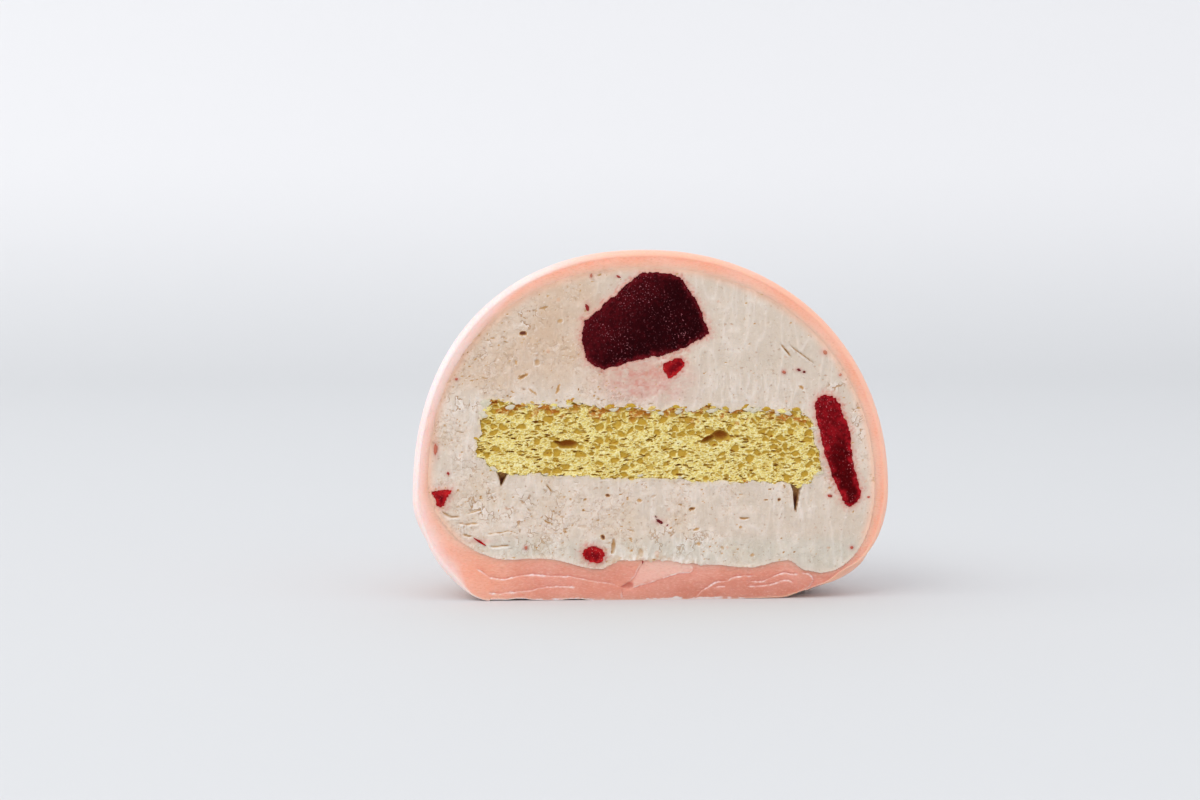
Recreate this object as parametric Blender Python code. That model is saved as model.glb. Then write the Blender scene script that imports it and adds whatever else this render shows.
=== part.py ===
"""Half of a cream-filled mochi rice cake, cut upright through the middle and standing on its flat base.

The cut face is an upright plane that looks along -Y. X runs to the right across it and Z runs up. A soft
rice skin, pleated round its foot and folded over itself underneath, wraps a cream filling. A disc of sponge
lies in the cream, and five pieces of berry show where the knife went through them. Sizes are in metres.
"""

import math
from dataclasses import dataclass

import bmesh
import bpy
from mathutils import Vector, noise


@dataclass
class Side:
    """One half of a section across the cut, from the middle of its bottom, round its waist, to its top."""

    foot: float
    waist: float
    half_width: float
    lower_power: float
    upper_power: float
    foot_height: float = 0.0


# The whole half
HALF_WIDTH = 0.0312
HEIGHT = 0.0455
DEPTH = 0.0305
TOP_X = -0.0008
DEPTH_RATIO = DEPTH / HALF_WIDTH
OUTSIDE_LEFT = Side(0.0215, 0.0130, HALF_WIDTH, 1.6, 2.25)
OUTSIDE_RIGHT = Side(0.0203, 0.0140, HALF_WIDTH, 1.9, 2.10)

# The hollow in the skin, which the cream fills
CAVITY_TOP = 0.0431
CAVITY_LEFT = Side(0.0190, 0.0150, 0.0290, 1.75, 2.25, 0.0055)
CAVITY_RIGHT = Side(0.0220, 0.0145, 0.0290, 2.1, 2.10, 0.0034)
FLOOR_LINE = (
    (-0.0190, 0.0055),
    (-0.0147, 0.0056),
    (-0.0068, 0.0041),
    (-0.0045, 0.0052),
    (0.0008, 0.0052),
    (0.0075, 0.0046),
    (0.0127, 0.0042),
    (0.0177, 0.0051),
    (0.0202, 0.0037),
    (0.0225, 0.0034),
)
FLOOR_MEAN = 0.0048
FLOOR_WAVE_REACH = 0.006

# The knife drags the outer edge of the soft skin inwards, which rounds it
EDGE_PULL = 0.0008
EDGE_REACH = 0.0022
EDGE_CENTRE_HEIGHT = 0.018
EDGE_FREE_HEIGHT = 0.003

# The right end of the base, which stands off the table beside the cut
END_LIFT = 0.0015
END_LIFT_FROM = 0.0165
END_LIFT_TO = 0.0222
END_LIFT_TOP = 0.0045
END_LIFT_REACH = 0.0070

# Pleats round the foot, which lean over to one side and fade out under the waist and under the base
PLEATS_ROUND = 36
PLEAT_DEPTH = 0.0009
PLEAT_TOP = 0.0125
PLEAT_LEAN = 0.16
PLEAT_INNER_SHARE = 0.5
PLEAT_FOOT_RISE = 0.0005

# Folds of skin that show on the cut under the cream, as lines along which one layer steps behind the next
UPPER_FOLD = (
    (-0.0223, 0.0036),
    (-0.0184, 0.0030),
    (-0.0119, 0.0033),
    (-0.0066, 0.0026),
    (-0.0036, 0.0016),
    (0.0000, 0.0029),
    (0.0045, 0.0040),
    (0.0083, 0.0032),
    (0.0132, 0.0035),
    (0.0180, 0.0037),
    (0.0203, 0.0026),
)
LOWER_FOLD = (
    (-0.0216, 0.0009),
    (-0.0158, 0.0016),
    (-0.0119, 0.0019),
    (-0.0053, 0.0014),
    (-0.0036, 0.0008),
    (0.0057, 0.0008),
    (0.0083, 0.0019),
    (0.0123, 0.0017),
    (0.0175, 0.0023),
    (0.0203, 0.0012),
)
FOLD_STEP = 0.0005
FOLD_LIP = 0.0002
SEAM_X = -0.0040
SEAM_LEAN = 0.5
SEAM_DEPTH = 0.0005
SEAM_HALF_WIDTH = 0.0011

# The disc of sponge, which lies a little lower at its right
SPONGE_RADIUS = 0.0223
SPONGE_X = -0.0005
SPONGE_MIDDLE_HEIGHT = 0.0204
SPONGE_HALF_THICKNESS = 0.0046
SPONGE_SLOPE = -0.042
SPONGE_END_DEPTH = 0.0030
SPONGE_LEFT_END = ((-1.0, 0.0026), (-0.5, 0.0), (1.0, 0.0010))
SPONGE_RIGHT_END = ((-1.0, 0.0009), (-0.5, 0.0), (1.0, 0.0017))
SPONGE_CRUMB = 0.0003
SPONGE_BUBBLES = (
    (-0.0111, 0.0203, 0.0015, 0.0006),
    (0.0081, 0.0212, 0.0018, 0.0008),
)
BUBBLE_DEPTH = 0.0009

# Free space that each piece keeps to what lies round it
GAP = 0.0003
CUTTER_FRONT = -0.002

# Two gaps that the cream leaves under the ends of the sponge: x, top height, half width and depth down
CREAM_GAPS = (
    (-0.0191, 0.0170, 0.0010, 0.0024),
    (0.0187, 0.0151, 0.0004, 0.0038),
)
CREAM_GAP_BACK = 0.0030
CREAM_RELIEF = 0.0004
BERRY_RELIEF = 0.0003

COLOURS = {
    "mochi_skin": ((0.85, 0.48, 0.37), 0.65),
    "cream_filling": ((0.66, 0.55, 0.44), 0.80),
    "sponge_layer": ((0.62, 0.44, 0.13), 0.95),
    "berry_top": ((0.03, 0.002, 0.004), 0.70),
    "berry_side": ((0.16, 0.007, 0.010), 0.70),
    "berry_chip": ((0.35, 0.006, 0.008), 0.70),
}


@dataclass
class Berry:
    """A piece of berry on the cut: its outline as (x, z) points anticlockwise, and how far it reaches back."""

    name: str
    colour: str
    outline: tuple
    depth: float


BERRIES = (
    Berry(
        "berry_top",
        "berry_top",
        (
            (-0.0089, 0.0361),
            (-0.0093, 0.0339),
            (-0.0085, 0.0313),
            (-0.0075, 0.0304),
            (-0.0058, 0.0301),
            (-0.0027, 0.0310),
            (0.0025, 0.0322),
            (0.0068, 0.0342),
            (0.0072, 0.0349),
            (0.0064, 0.0371),
            (0.0057, 0.0387),
            (0.0045, 0.0406),
            (0.0028, 0.0422),
            (-0.0006, 0.0426),
            (-0.0020, 0.0422),
            (-0.0034, 0.0410),
            (-0.0052, 0.0394),
            (-0.0080, 0.0369),
        ),
        0.0070,
    ),
    Berry(
        "berry_side",
        "berry_side",
        (
            (0.0225, 0.0266),
            (0.0214, 0.0260),
            (0.0212, 0.0247),
            (0.0215, 0.0228),
            (0.0221, 0.0206),
            (0.0233, 0.0165),
            (0.0246, 0.0133),
            (0.0252, 0.0123),
            (0.0258, 0.0120),
            (0.0266, 0.0124),
            (0.0273, 0.0133),
            (0.0270, 0.0148),
            (0.0262, 0.0185),
            (0.0258, 0.0213),
            (0.0254, 0.0229),
            (0.0248, 0.0244),
            (0.0242, 0.0256),
            (0.0234, 0.0264),
        ),
        0.0045,
    ),
    Berry(
        "berry_chip_upper",
        "berry_chip",
        (
            (0.0014, 0.0306),
            (0.0016, 0.0295),
            (0.0022, 0.0287),
            (0.0032, 0.0295),
            (0.0040, 0.0302),
            (0.0040, 0.0310),
            (0.0035, 0.0316),
            (0.0023, 0.0311),
        ),
        0.0016,
    ),
    Berry(
        "berry_chip_left",
        "berry_chip",
        (
            (-0.0286, 0.0143),
            (-0.0282, 0.0132),
            (-0.0278, 0.0123),
            (-0.0271, 0.0124),
            (-0.0267, 0.0133),
            (-0.0261, 0.0144),
            (-0.0273, 0.0145),
        ),
        0.0015,
    ),
    Berry(
        "berry_chip_base",
        "berry_chip",
        (
            (-0.0092, 0.0064),
            (-0.0091, 0.0058),
            (-0.0084, 0.0052),
            (-0.0073, 0.0049),
            (-0.0067, 0.0050),
            (-0.0062, 0.0058),
            (-0.0068, 0.0068),
            (-0.0080, 0.0070),
        ),
        0.0018,
    ),
)

# How finely the surfaces are divided
BASE_ROWS = 9
LOWER_ROWS = 6
UPPER_ANGLES = (4, 10, 17, 25, 34, 43, 52, 61, 69, 76, 82, 87, 90)
PLEAT_SAMPLES = 4
CUT_SAMPLE = math.radians(1.2)
CAVITY_COLUMNS = 20
CREAM_FACE_RINGS = 9
SPONGE_COLUMNS = 42
SPONGE_ROWS = 8
BERRY_RINGS = 3
BERRY_FACE_RINGS = 3
BERRY_POINTS = {"berry_top": 36, "berry_side": 28}
CHIP_POINTS = 14


def smooth_step(low, high, value):
    """0 below low, 1 above high, and a smooth rise between them."""
    share = min(1.0, max(0.0, (value - low) / (high - low)))
    return share * share * (3 - 2 * share)


def height_on(line, x):
    """The height of a line of (x, z) points at x, smooth between the points and level past its ends."""
    if x <= line[0][0]:
        return line[0][1]
    for (x_low, z_low), (x_high, z_high) in zip(line, line[1:]):
        if x <= x_high:
            return z_low + (z_high - z_low) * smooth_step(x_low, x_high, x)
    return line[-1][1]


def section_row(side, top, direction):
    """Points (x, z) of one half of a section, where direction is 1 to the right and -1 to the left."""
    points = []
    for k in range(BASE_ROWS + 1):
        points.append((direction * side.foot * k / BASE_ROWS, side.foot_height))
    for k in range(1, LOWER_ROWS + 1):
        angle = math.pi / 2 * k / LOWER_ROWS
        out = math.sin(angle) ** (2 / side.lower_power)
        down = math.cos(angle) ** (2 / side.lower_power) if k < LOWER_ROWS else 0.0
        x = side.foot + (side.half_width - side.foot) * out
        z = side.waist - (side.waist - side.foot_height) * down
        points.append((direction * x, z))
    for degrees in UPPER_ANGLES:
        angle = math.radians(degrees)
        out = math.cos(angle) ** (2 / side.upper_power) if degrees < 90 else 0.0
        up = math.sin(angle) ** (2 / side.upper_power)
        x = TOP_X + (direction * side.half_width - TOP_X) * out
        z = side.waist + (top - side.waist) * up
        points.append((x, z))
    return points


def half_ring_point(left, right, angle):
    """A point of the half ring that runs from right, round the back, to left."""
    middle = (left[0] + right[0]) / 2
    radius = (right[0] - left[0]) / 2
    share = (1 + math.cos(angle)) / 2
    z = left[1] + (right[1] - left[1]) * share
    return Vector((middle + radius * math.cos(angle), DEPTH_RATIO * radius * math.sin(angle), z))


def pleat_valley(angle, height):
    """How far into a valley between two pleats a point lies, from 0 on a pleat to 1 in the valley."""
    lean = PLEAT_LEAN * height / PLEAT_TOP
    uneven = 0.030 * math.sin(3 * angle + 1.0) + 0.018 * math.sin(7 * angle)
    wave = 0.5 + 0.5 * math.cos(PLEATS_ROUND * (angle + uneven - lean))
    return wave * wave * (1 + 0.25 * math.sin(5 * angle + 0.6))


def pleat_side(point, angle):
    """The pleats on the side of the skin push each valley in towards the axis."""
    fade = 1 - smooth_step(0.25 * PLEAT_TOP, PLEAT_TOP, point.z)
    push = PLEAT_DEPTH * fade * pleat_valley(angle, point.z)
    flat = Vector((point.x, point.y, 0))
    if flat.length > push:
        point = point - flat.normalized() * push
    return point


def pleat_base(point, angle, share):
    """Under the base each valley rises off the ground, and fades towards the flat middle."""
    rise = PLEAT_FOOT_RISE * smooth_step(PLEAT_INNER_SHARE, 1.0, share)
    point = point.copy()
    point.z += rise * pleat_valley(angle, 0.0)
    return point


def round_cut_edge(point):
    """Pulls a point of the outside inwards where it lies close to the cut."""
    if point.y >= EDGE_REACH:
        return point
    share = 1 - point.y / EDGE_REACH
    pull = EDGE_PULL * (1 - math.sqrt(1 - share * share))
    pull *= smooth_step(0.0, EDGE_FREE_HEIGHT, point.z)
    outwards = Vector((point.x, 0, point.z - EDGE_CENTRE_HEIGHT)).normalized()
    return point - outwards * pull


def lift_end(point):
    """Lifts the underside at the right end of the cut, less and less towards the back and further up."""
    lift = END_LIFT * smooth_step(END_LIFT_FROM, END_LIFT_TO, point.x)
    lift *= 1 - smooth_step(0.0, END_LIFT_REACH, point.y)
    lift *= max(0.0, 1 - point.z / END_LIFT_TOP)
    return point + Vector((0, 0, lift))


def outside_angles():
    """The turns at which the outside is sampled, closer together beside the cut."""
    samples = PLEATS_ROUND // 2 * PLEAT_SAMPLES
    angles = [math.pi * k / samples for k in range(samples + 1)]
    return sorted([*angles, CUT_SAMPLE, math.pi - CUT_SAMPLE])


def outside_is_coarse(row, column):
    """True where the outside needs no vertex of its own: between the wider columns, away from the pleats."""
    pleated = PLEAT_INNER_SHARE * BASE_ROWS <= row <= BASE_ROWS + LOWER_ROWS
    return not pleated and column % 2 == 0


def outside_point(row, left, right, angle):
    """A point of the outer surface of the skin."""
    point = half_ring_point(left, right, angle)
    if row <= BASE_ROWS:
        point = pleat_base(point, angle, row / BASE_ROWS)
    point = pleat_side(point, angle) if row >= BASE_ROWS else point
    return lift_end(round_cut_edge(point))


def cavity_sides(inset):
    """The two halves of the hollow's section, each moved in by inset."""
    sides = []
    for side in (CAVITY_LEFT, CAVITY_RIGHT):
        sides.append(
            Side(
                side.foot - inset / 2,
                side.waist,
                side.half_width - inset,
                side.lower_power,
                side.upper_power,
                side.foot_height + inset,
            )
        )
    return sides


def cavity_point(row, left, right, angle, inset):
    """A point of the hollow in the skin, whose floor is uneven at the cut and even further back."""
    point = half_ring_point(left, right, angle)
    if row <= BASE_ROWS:
        line = height_on(FLOOR_LINE, point.x) + inset
        evened = point.z + (FLOOR_MEAN + inset - point.z) * (1 - row / BASE_ROWS)
        point.z = line + (evened - line) * smooth_step(0.0, FLOOR_WAVE_REACH, point.y)
    return point


def surface_rows(bm, left_row, right_row, angles, place, is_coarse=lambda row, column: False):
    """Vertices of a half-round surface, a list for each section row; its first and last rows are one point.
    A coarse place shares the vertex of the column before it."""
    rows = []
    last_column = len(angles) - 1
    for row, (left, right) in enumerate(zip(left_row, right_row)):
        vertices = [bm.verts.new(place(row, left, right, 0.0))]
        for column, angle in enumerate(angles[1:], 1):
            is_point = row in (0, len(left_row) - 1)
            if is_point or (0 < column < last_column and is_coarse(row, column)):
                vertices.append(vertices[-1])
            else:
                vertices.append(bm.verts.new(place(row, left, right, angle)))
        rows.append(vertices)
    return rows


def join_rows(bm, first, second):
    """Faces between two rows of vertices; where the rows share a vertex they meet in triangles."""
    for k in range(len(first) - 1):
        corners = (first[k], first[k + 1], second[k + 1], second[k])
        corners = list(dict.fromkeys(corners))
        if len(corners) > 2:
            bm.faces.new(corners)


def rim_loop(rows):
    """The closed line in which a half-round surface meets the cut, from its bottom up the right side."""
    right = [row[0] for row in rows]
    left = [row[-1] for row in rows]
    return right + left[-2:0:-1]


def close_and_store(bm, name, colour):
    """Turns a finished bmesh into an object whose faces point out."""
    bmesh.ops.recalc_face_normals(bm, faces=bm.faces)
    bmesh.ops.triangulate(bm, faces=[f for f in bm.faces if len(f.verts) > 3])
    mesh = bpy.data.meshes.new(name)
    bm.to_mesh(mesh)
    bm.free()
    mesh.shade_smooth()
    mesh.set_sharp_from_angle(angle=math.radians(40))
    thing = bpy.data.objects.new(name, mesh)
    bpy.context.collection.objects.link(thing)
    if colour:
        thing.data.materials.append(food_material(colour))
    return thing


def food_material(key):
    """The plain material of one kind of food, made once."""
    if key in bpy.data.materials:
        return bpy.data.materials[key]
    colour, roughness = COLOURS[key]
    material = bpy.data.materials.new(key)
    material.use_nodes = True
    shader = material.node_tree.nodes["Principled BSDF"]
    shader.inputs["Base Color"].default_value = (*colour, 1)
    shader.inputs["Roughness"].default_value = roughness
    shader.inputs["Metallic"].default_value = 0.0
    return material


def fold_shares(x, row_share):
    """Where the lines between layers cross the skin's thickness on the cut, and how far each is set back."""
    floor = height_on(FLOOR_LINE, x)
    lower = height_on(LOWER_FOLD, x) / floor
    upper = height_on(UPPER_FOLD, x) / floor
    lip = FOLD_LIP / floor
    folded = (lower - lip, lower + lip, upper - lip, upper + lip)
    even = (0.2, 0.4, 0.6, 0.8)
    shares = [a + (b - a) * row_share for a, b in zip(folded, even)]
    steps = [FOLD_STEP * (1 - row_share), 0.0, FOLD_STEP * (1 - row_share), 0.0]
    return shares, steps


def seam_depth(x, z):
    """How far the cut is set back beside the seam where the left and right folds meet."""
    away = (x - SEAM_X - SEAM_LEAN * z) / SEAM_HALF_WIDTH
    return SEAM_DEPTH * math.exp(-away * away)


def cut_lines(bm, outer_loop, inner_loop):
    """Rows of vertices across the skin's thickness on the cut, stepped at the folds under the cream."""
    rows_each_side = len(outer_loop) // 2
    lines = [[] for _ in range(4)]
    for k, (outer, inner) in enumerate(zip(outer_loop, inner_loop)):
        row = min(k, 2 * rows_each_side - k)
        row_share = smooth_step(BASE_ROWS, BASE_ROWS + LOWER_ROWS, row)
        middle_x = (outer.co.x + inner.co.x) / 2
        shares, steps = fold_shares(middle_x, row_share)
        for line, share, step in zip(lines, shares, steps):
            place = outer.co.lerp(inner.co, share)
            place.y = step
            if row < BASE_ROWS:
                place.y += seam_depth(place.x, place.z)
            line.append(bm.verts.new(place))
    return lines


def make_skin():
    """The rice skin: a thick folded base, a thin pleated wall, and the cut face between outside and hollow."""
    bm = bmesh.new()
    outside = surface_rows(
        bm,
        section_row(OUTSIDE_LEFT, HEIGHT, -1),
        section_row(OUTSIDE_RIGHT, HEIGHT, 1),
        outside_angles(),
        outside_point,
        outside_is_coarse,
    )
    left, right = cavity_sides(0.0)
    hollow = surface_rows(
        bm,
        section_row(left, CAVITY_TOP, -1),
        section_row(right, CAVITY_TOP, 1),
        [math.pi * k / CAVITY_COLUMNS for k in range(CAVITY_COLUMNS + 1)],
        lambda row, a, b, angle: cavity_point(row, a, b, angle, 0.0),
    )
    for rows in (outside, hollow):
        for first, second in zip(rows, rows[1:]):
            join_rows(bm, first, second)
    outer_loop, inner_loop = rim_loop(outside), rim_loop(hollow)
    loops = [outer_loop, *cut_lines(bm, outer_loop, inner_loop), inner_loop]
    for first, second in zip(loops, loops[1:]):
        join_rows(bm, first + first[:1], second + second[:1])
    return close_and_store(bm, "mochi_skin", "mochi_skin")


def crag(x, z, scale, seed):
    """Uneven relief between 0 and 1 at a point of the cut."""
    return 0.5 + 0.5 * noise.noise(Vector((x / scale, seed, z / scale)))


def fill_face(bm, loop, centre, rings, depth_at):
    """Fills a closed loop on the cut with rings of faces about centre; depth_at sets each vertex back."""
    middle = Vector((centre[0], 0, centre[1]))
    previous = loop
    for ring in range(1, rings):
        share = ring / rings
        current = []
        for vertex in loop:
            place = Vector((vertex.co.x, 0, vertex.co.z)).lerp(middle, share)
            place.y = depth_at(place.x, place.z)
            current.append(bm.verts.new(place))
        join_rows(bm, previous + previous[:1], current + current[:1])
        previous = current
    tip = bm.verts.new((middle.x, depth_at(middle.x, middle.z), middle.z))
    join_rows(bm, previous + previous[:1], [tip] * (len(previous) + 1))


def make_cream_block():
    """The cream before the sponge, the berries and the gaps are cut out of it."""
    bm = bmesh.new()
    left, right = cavity_sides(GAP)
    block = surface_rows(
        bm,
        section_row(left, CAVITY_TOP - GAP, -1),
        section_row(right, CAVITY_TOP - GAP, 1),
        [math.pi * k / CAVITY_COLUMNS for k in range(CAVITY_COLUMNS + 1)],
        lambda row, a, b, angle: cavity_point(row, a, b, angle, GAP),
    )
    for first, second in zip(block, block[1:]):
        join_rows(bm, first, second)
    centre = (TOP_X, SPONGE_MIDDLE_HEIGHT)
    fill_face(
        bm,
        rim_loop(block),
        centre,
        CREAM_FACE_RINGS,
        lambda x, z: CREAM_RELIEF * crag(x, z, 0.0025, 3.0),
    )
    return close_and_store(bm, "cream_filling", "cream_filling")


def sponge_point(across, up, grow):
    """A point of the sponge's section: across runs from -1 to 1 between its ends, up from -1 to 1."""
    end_line = SPONGE_LEFT_END if across < 0 else SPONGE_RIGHT_END
    reach = (SPONGE_RADIUS - height_on(end_line, up) + grow) * math.sin(math.pi / 2 * across)
    x = SPONGE_X + reach
    crumb = SPONGE_CRUMB * (2 * crag(x, 4 * up, 0.0012, 11.0) - 1)
    z = SPONGE_MIDDLE_HEIGHT + SPONGE_SLOPE * reach + (SPONGE_HALF_THICKNESS + grow + crumb) * up
    return x, z


def sponge_front(x, z):
    """How far the sponge's cut face is set back by its crumb and its two large bubbles."""
    depth = SPONGE_CRUMB * crag(x, z, 0.0011, 7.0)
    for bubble_x, bubble_z, half_width, half_height in SPONGE_BUBBLES:
        away = ((x - bubble_x) / half_width) ** 2 + ((z - bubble_z) / half_height) ** 2
        depth += BUBBLE_DEPTH * max(0.0, 1 - away / 1.6)
    return depth


def make_sponge(name, colour, grow=0.0, front=None):
    """The half disc of sponge; with grow and front it is the cutter that makes room for it in the cream."""
    bm = bmesh.new()
    near, far = [], []
    for k in range(SPONGE_ROWS + 1):
        up = 2 * k / SPONGE_ROWS - 1
        near.append([])
        far.append([])
        for column in range(SPONGE_COLUMNS + 1):
            across = 2 * column / SPONGE_COLUMNS - 1
            x, z = sponge_point(across, up, grow)
            back = (SPONGE_RADIUS + grow) * math.cos(math.pi / 2 * across)
            back = max(back, SPONGE_END_DEPTH + grow)
            depth = sponge_front(x, z) if front is None else front
            near[-1].append(bm.verts.new((x, depth, z)))
            far[-1].append(bm.verts.new((x, back, z)))
    for rows in (near, far):
        for first, second in zip(rows, rows[1:]):
            join_rows(bm, first, second)
    join_rows(bm, near[0], far[0])
    join_rows(bm, near[-1], far[-1])
    for end in (0, -1):
        join_rows(bm, [row[end] for row in near], [row[end] for row in far])
    return close_and_store(bm, name, colour)


def curve_point(points, place):
    """A point of the smooth closed curve through points, where place counts points from the first."""
    count = len(points)
    low = int(place)
    share = place - low
    before, start, end, after = (Vector(points[(low + k) % count]) for k in (-1, 0, 1, 2))
    bend = 2 * before - 5 * start + 4 * end - after
    turn = 3 * start - before - 3 * end + after
    return start + 0.5 * share * (end - before + share * (bend + share * turn))


def berry_outline(berry, count, grow):
    """Count points round a berry's outline, each moved straight out by grow."""
    points = [curve_point(berry.outline, k * len(berry.outline) / count) for k in range(count)]
    moved = []
    for k, point in enumerate(points):
        along = points[(k + 1) % count] - points[k - 1]
        out = Vector((along.y, -along.x)).normalized()
        moved.append(point + grow * out)
    return moved


def make_berry(berry, name, colour, grow=0.0, front=None):
    """A piece of berry, cut at its front and rounded behind; with grow and front it is its cutter."""
    bm = bmesh.new()
    outline = berry_outline(berry, BERRY_POINTS.get(berry.name, CHIP_POINTS), grow)
    centre = sum(outline, Vector((0, 0))) / len(outline)
    start = 0.0 if front is None else front
    depth = berry.depth + grow
    loops = []
    for ring in range(BERRY_RINGS + 1):
        turn = math.pi / 2 * ring / (BERRY_RINGS + 1)
        y = start if ring == 0 else depth * math.sin(turn)
        places = [centre.lerp(point, math.cos(turn)) for point in outline]
        loops.append([bm.verts.new((place.x, y, place.y)) for place in places])
    for first, second in zip(loops, loops[1:]):
        join_rows(bm, first + first[:1], second + second[:1])
    tip = bm.verts.new((centre.x, depth, centre.y))
    join_rows(bm, loops[-1] + loops[-1][:1], [tip] * (len(outline) + 1))
    relief = BERRY_RELIEF if front is None else 0.0
    rings = BERRY_FACE_RINGS if front is None else 1
    fill_face(bm, loops[0], centre, rings, lambda x, z: start + relief * crag(x, z, 0.0009, 17.0))
    return close_and_store(bm, name, colour)


def make_gap_cutter(number, x, top, half_width, down):
    """A wedge that narrows downwards, for a gap which the cream leaves under the sponge."""
    bm = bmesh.new()
    above = top + SPONGE_HALF_THICKNESS
    outline = ((x - half_width, above), (x + half_width, above), (x + half_width, top), (x, top - down))
    outline += ((x - half_width, top),)
    near = [bm.verts.new((px, CUTTER_FRONT, pz)) for px, pz in outline]
    far = [bm.verts.new((px, CREAM_GAP_BACK, pz)) for px, pz in outline]
    bm.faces.new(near)
    bm.faces.new(far)
    join_rows(bm, near + near[:1], far + far[:1])
    return close_and_store(bm, f"gap_cutter_{number}", None)


def cut(body, cutters):
    """Cuts every cutter out of body with Boolean modifiers and hides the cutters."""
    for cutter in cutters:
        modifier = body.modifiers.new(cutter.name, "BOOLEAN")
        modifier.operation = "DIFFERENCE"
        modifier.solver = "EXACT"
        modifier.object = cutter
        cutter.hide_render = True
        cutter.display_type = "WIRE"


def make_cream():
    """The cream, with room in it for the sponge and the berries."""
    cream = make_cream_block()
    cutters = [make_sponge("sponge_cutter", None, GAP, CUTTER_FRONT)]
    for berry in BERRIES:
        cutters.append(make_berry(berry, f"{berry.name}_cutter", None, GAP, CUTTER_FRONT))
    for number, gap in enumerate(CREAM_GAPS):
        cutters.append(make_gap_cutter(number, *gap))
    cut(cream, cutters)
    return [cream, *cutters]


def main():
    for thing in list(bpy.data.objects):
        bpy.data.objects.remove(thing)
    things = [make_skin(), *make_cream(), make_sponge("sponge_layer", "sponge_layer")]
    for berry in BERRIES:
        things.append(make_berry(berry, berry.name, berry.colour))
    half = bpy.data.objects.new("mochi_half", None)
    half.location = (0, -DEPTH / 2, 0)
    bpy.context.collection.objects.link(half)
    for thing in things:
        thing.parent = half


main()
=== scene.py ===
"""The looks of the mochi half: powdered rice skin, torn cream, open sponge crumb and frosted berry.

Everything is shaped in metres with the cut face in the plane y = 0 and the half behind it, and then moved
to where the frame has it. Values that part.py also names are the same here.
"""

import math
from dataclasses import dataclass
from functools import cache

import bmesh
import bpy
import numpy as np
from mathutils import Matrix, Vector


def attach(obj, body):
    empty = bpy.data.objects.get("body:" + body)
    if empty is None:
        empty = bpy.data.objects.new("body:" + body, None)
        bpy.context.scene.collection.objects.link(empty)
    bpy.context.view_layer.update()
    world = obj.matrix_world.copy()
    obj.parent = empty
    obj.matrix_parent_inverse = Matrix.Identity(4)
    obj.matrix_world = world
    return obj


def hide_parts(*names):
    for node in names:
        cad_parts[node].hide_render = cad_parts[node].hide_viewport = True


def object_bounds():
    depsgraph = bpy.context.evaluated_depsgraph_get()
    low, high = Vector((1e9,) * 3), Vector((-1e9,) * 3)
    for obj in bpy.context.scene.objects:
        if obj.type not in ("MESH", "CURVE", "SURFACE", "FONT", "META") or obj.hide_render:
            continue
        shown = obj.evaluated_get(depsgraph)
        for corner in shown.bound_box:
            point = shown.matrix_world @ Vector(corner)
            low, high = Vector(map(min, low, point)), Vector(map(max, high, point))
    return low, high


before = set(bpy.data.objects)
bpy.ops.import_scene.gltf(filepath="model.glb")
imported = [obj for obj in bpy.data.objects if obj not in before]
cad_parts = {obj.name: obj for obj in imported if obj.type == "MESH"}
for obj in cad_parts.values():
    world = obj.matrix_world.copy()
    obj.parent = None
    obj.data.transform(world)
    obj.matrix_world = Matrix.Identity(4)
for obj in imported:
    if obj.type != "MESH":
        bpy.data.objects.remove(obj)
CAD_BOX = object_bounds()
CUT_Y = CAD_BOX[0].y


@dataclass
class Side:
    """One half of a section across the cut, from the middle of its bottom, round its waist, to its top."""

    foot: float
    waist: float
    half_width: float
    lower_power: float
    upper_power: float
    foot_height: float = 0.0


# The whole half
HALF_WIDTH = 0.0312
HEIGHT = 0.0455
DEPTH = 0.0305
TOP_X = -0.0008
DEPTH_RATIO = DEPTH / HALF_WIDTH
OUTSIDE_LEFT = Side(0.0215, 0.0130, HALF_WIDTH, 1.6, 2.25)
OUTSIDE_RIGHT = Side(0.0203, 0.0140, HALF_WIDTH, 1.9, 2.10)

# The hollow in the skin, which the cream fills
CAVITY_TOP = 0.0431
CAVITY_LEFT = Side(0.0190, 0.0150, 0.0290, 1.75, 2.25, 0.0055)
CAVITY_RIGHT = Side(0.0220, 0.0145, 0.0290, 2.1, 2.10, 0.0034)
FLOOR_LINE = (
    (-0.0190, 0.0055), (-0.0147, 0.0056), (-0.0068, 0.0041), (-0.0045, 0.0052), (0.0008, 0.0052),
    (0.0075, 0.0046), (0.0127, 0.0042), (0.0177, 0.0051), (0.0202, 0.0037), (0.0225, 0.0034),
)
FLOOR_MEAN = 0.0048
FLOOR_WAVE_REACH = 0.006

# The cut's rounded outer edge, and the underside beside the cut, which lifts off the table at its right end
EDGE_PULL = 0.0008
EDGE_REACH = 0.0022
EDGE_CENTRE_HEIGHT = 0.018
EDGE_FREE_HEIGHT = 0.003
RIM_WIDTH = 0.0003
RIM_WIDTH_LEFT = 0.0025
END_LIFT = 0.0015
END_LIFT_FROM = 0.0165
END_LIFT_TO = 0.0222
END_LIFT_TOP = 0.0045
END_LIFT_REACH = 0.0070

# Two low gaps between the underside and the table: the middle and half width of each
UNDERSIDE_GAPS = ((-0.0172, 0.0013), (-0.0102, 0.0016))
UNDERSIDE_GAP_HEIGHT = 0.00018
UNDERSIDE_GAP_REACH = 0.004

# Pleats round the foot
PLEATS_ROUND = 36
PLEAT_DEPTH = 0.0009
PLEAT_TOP = 0.0125
PLEAT_LEAN = 0.16
PLEAT_INNER_SHARE = 0.5
PLEAT_FOOT_RISE = 0.0005

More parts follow.
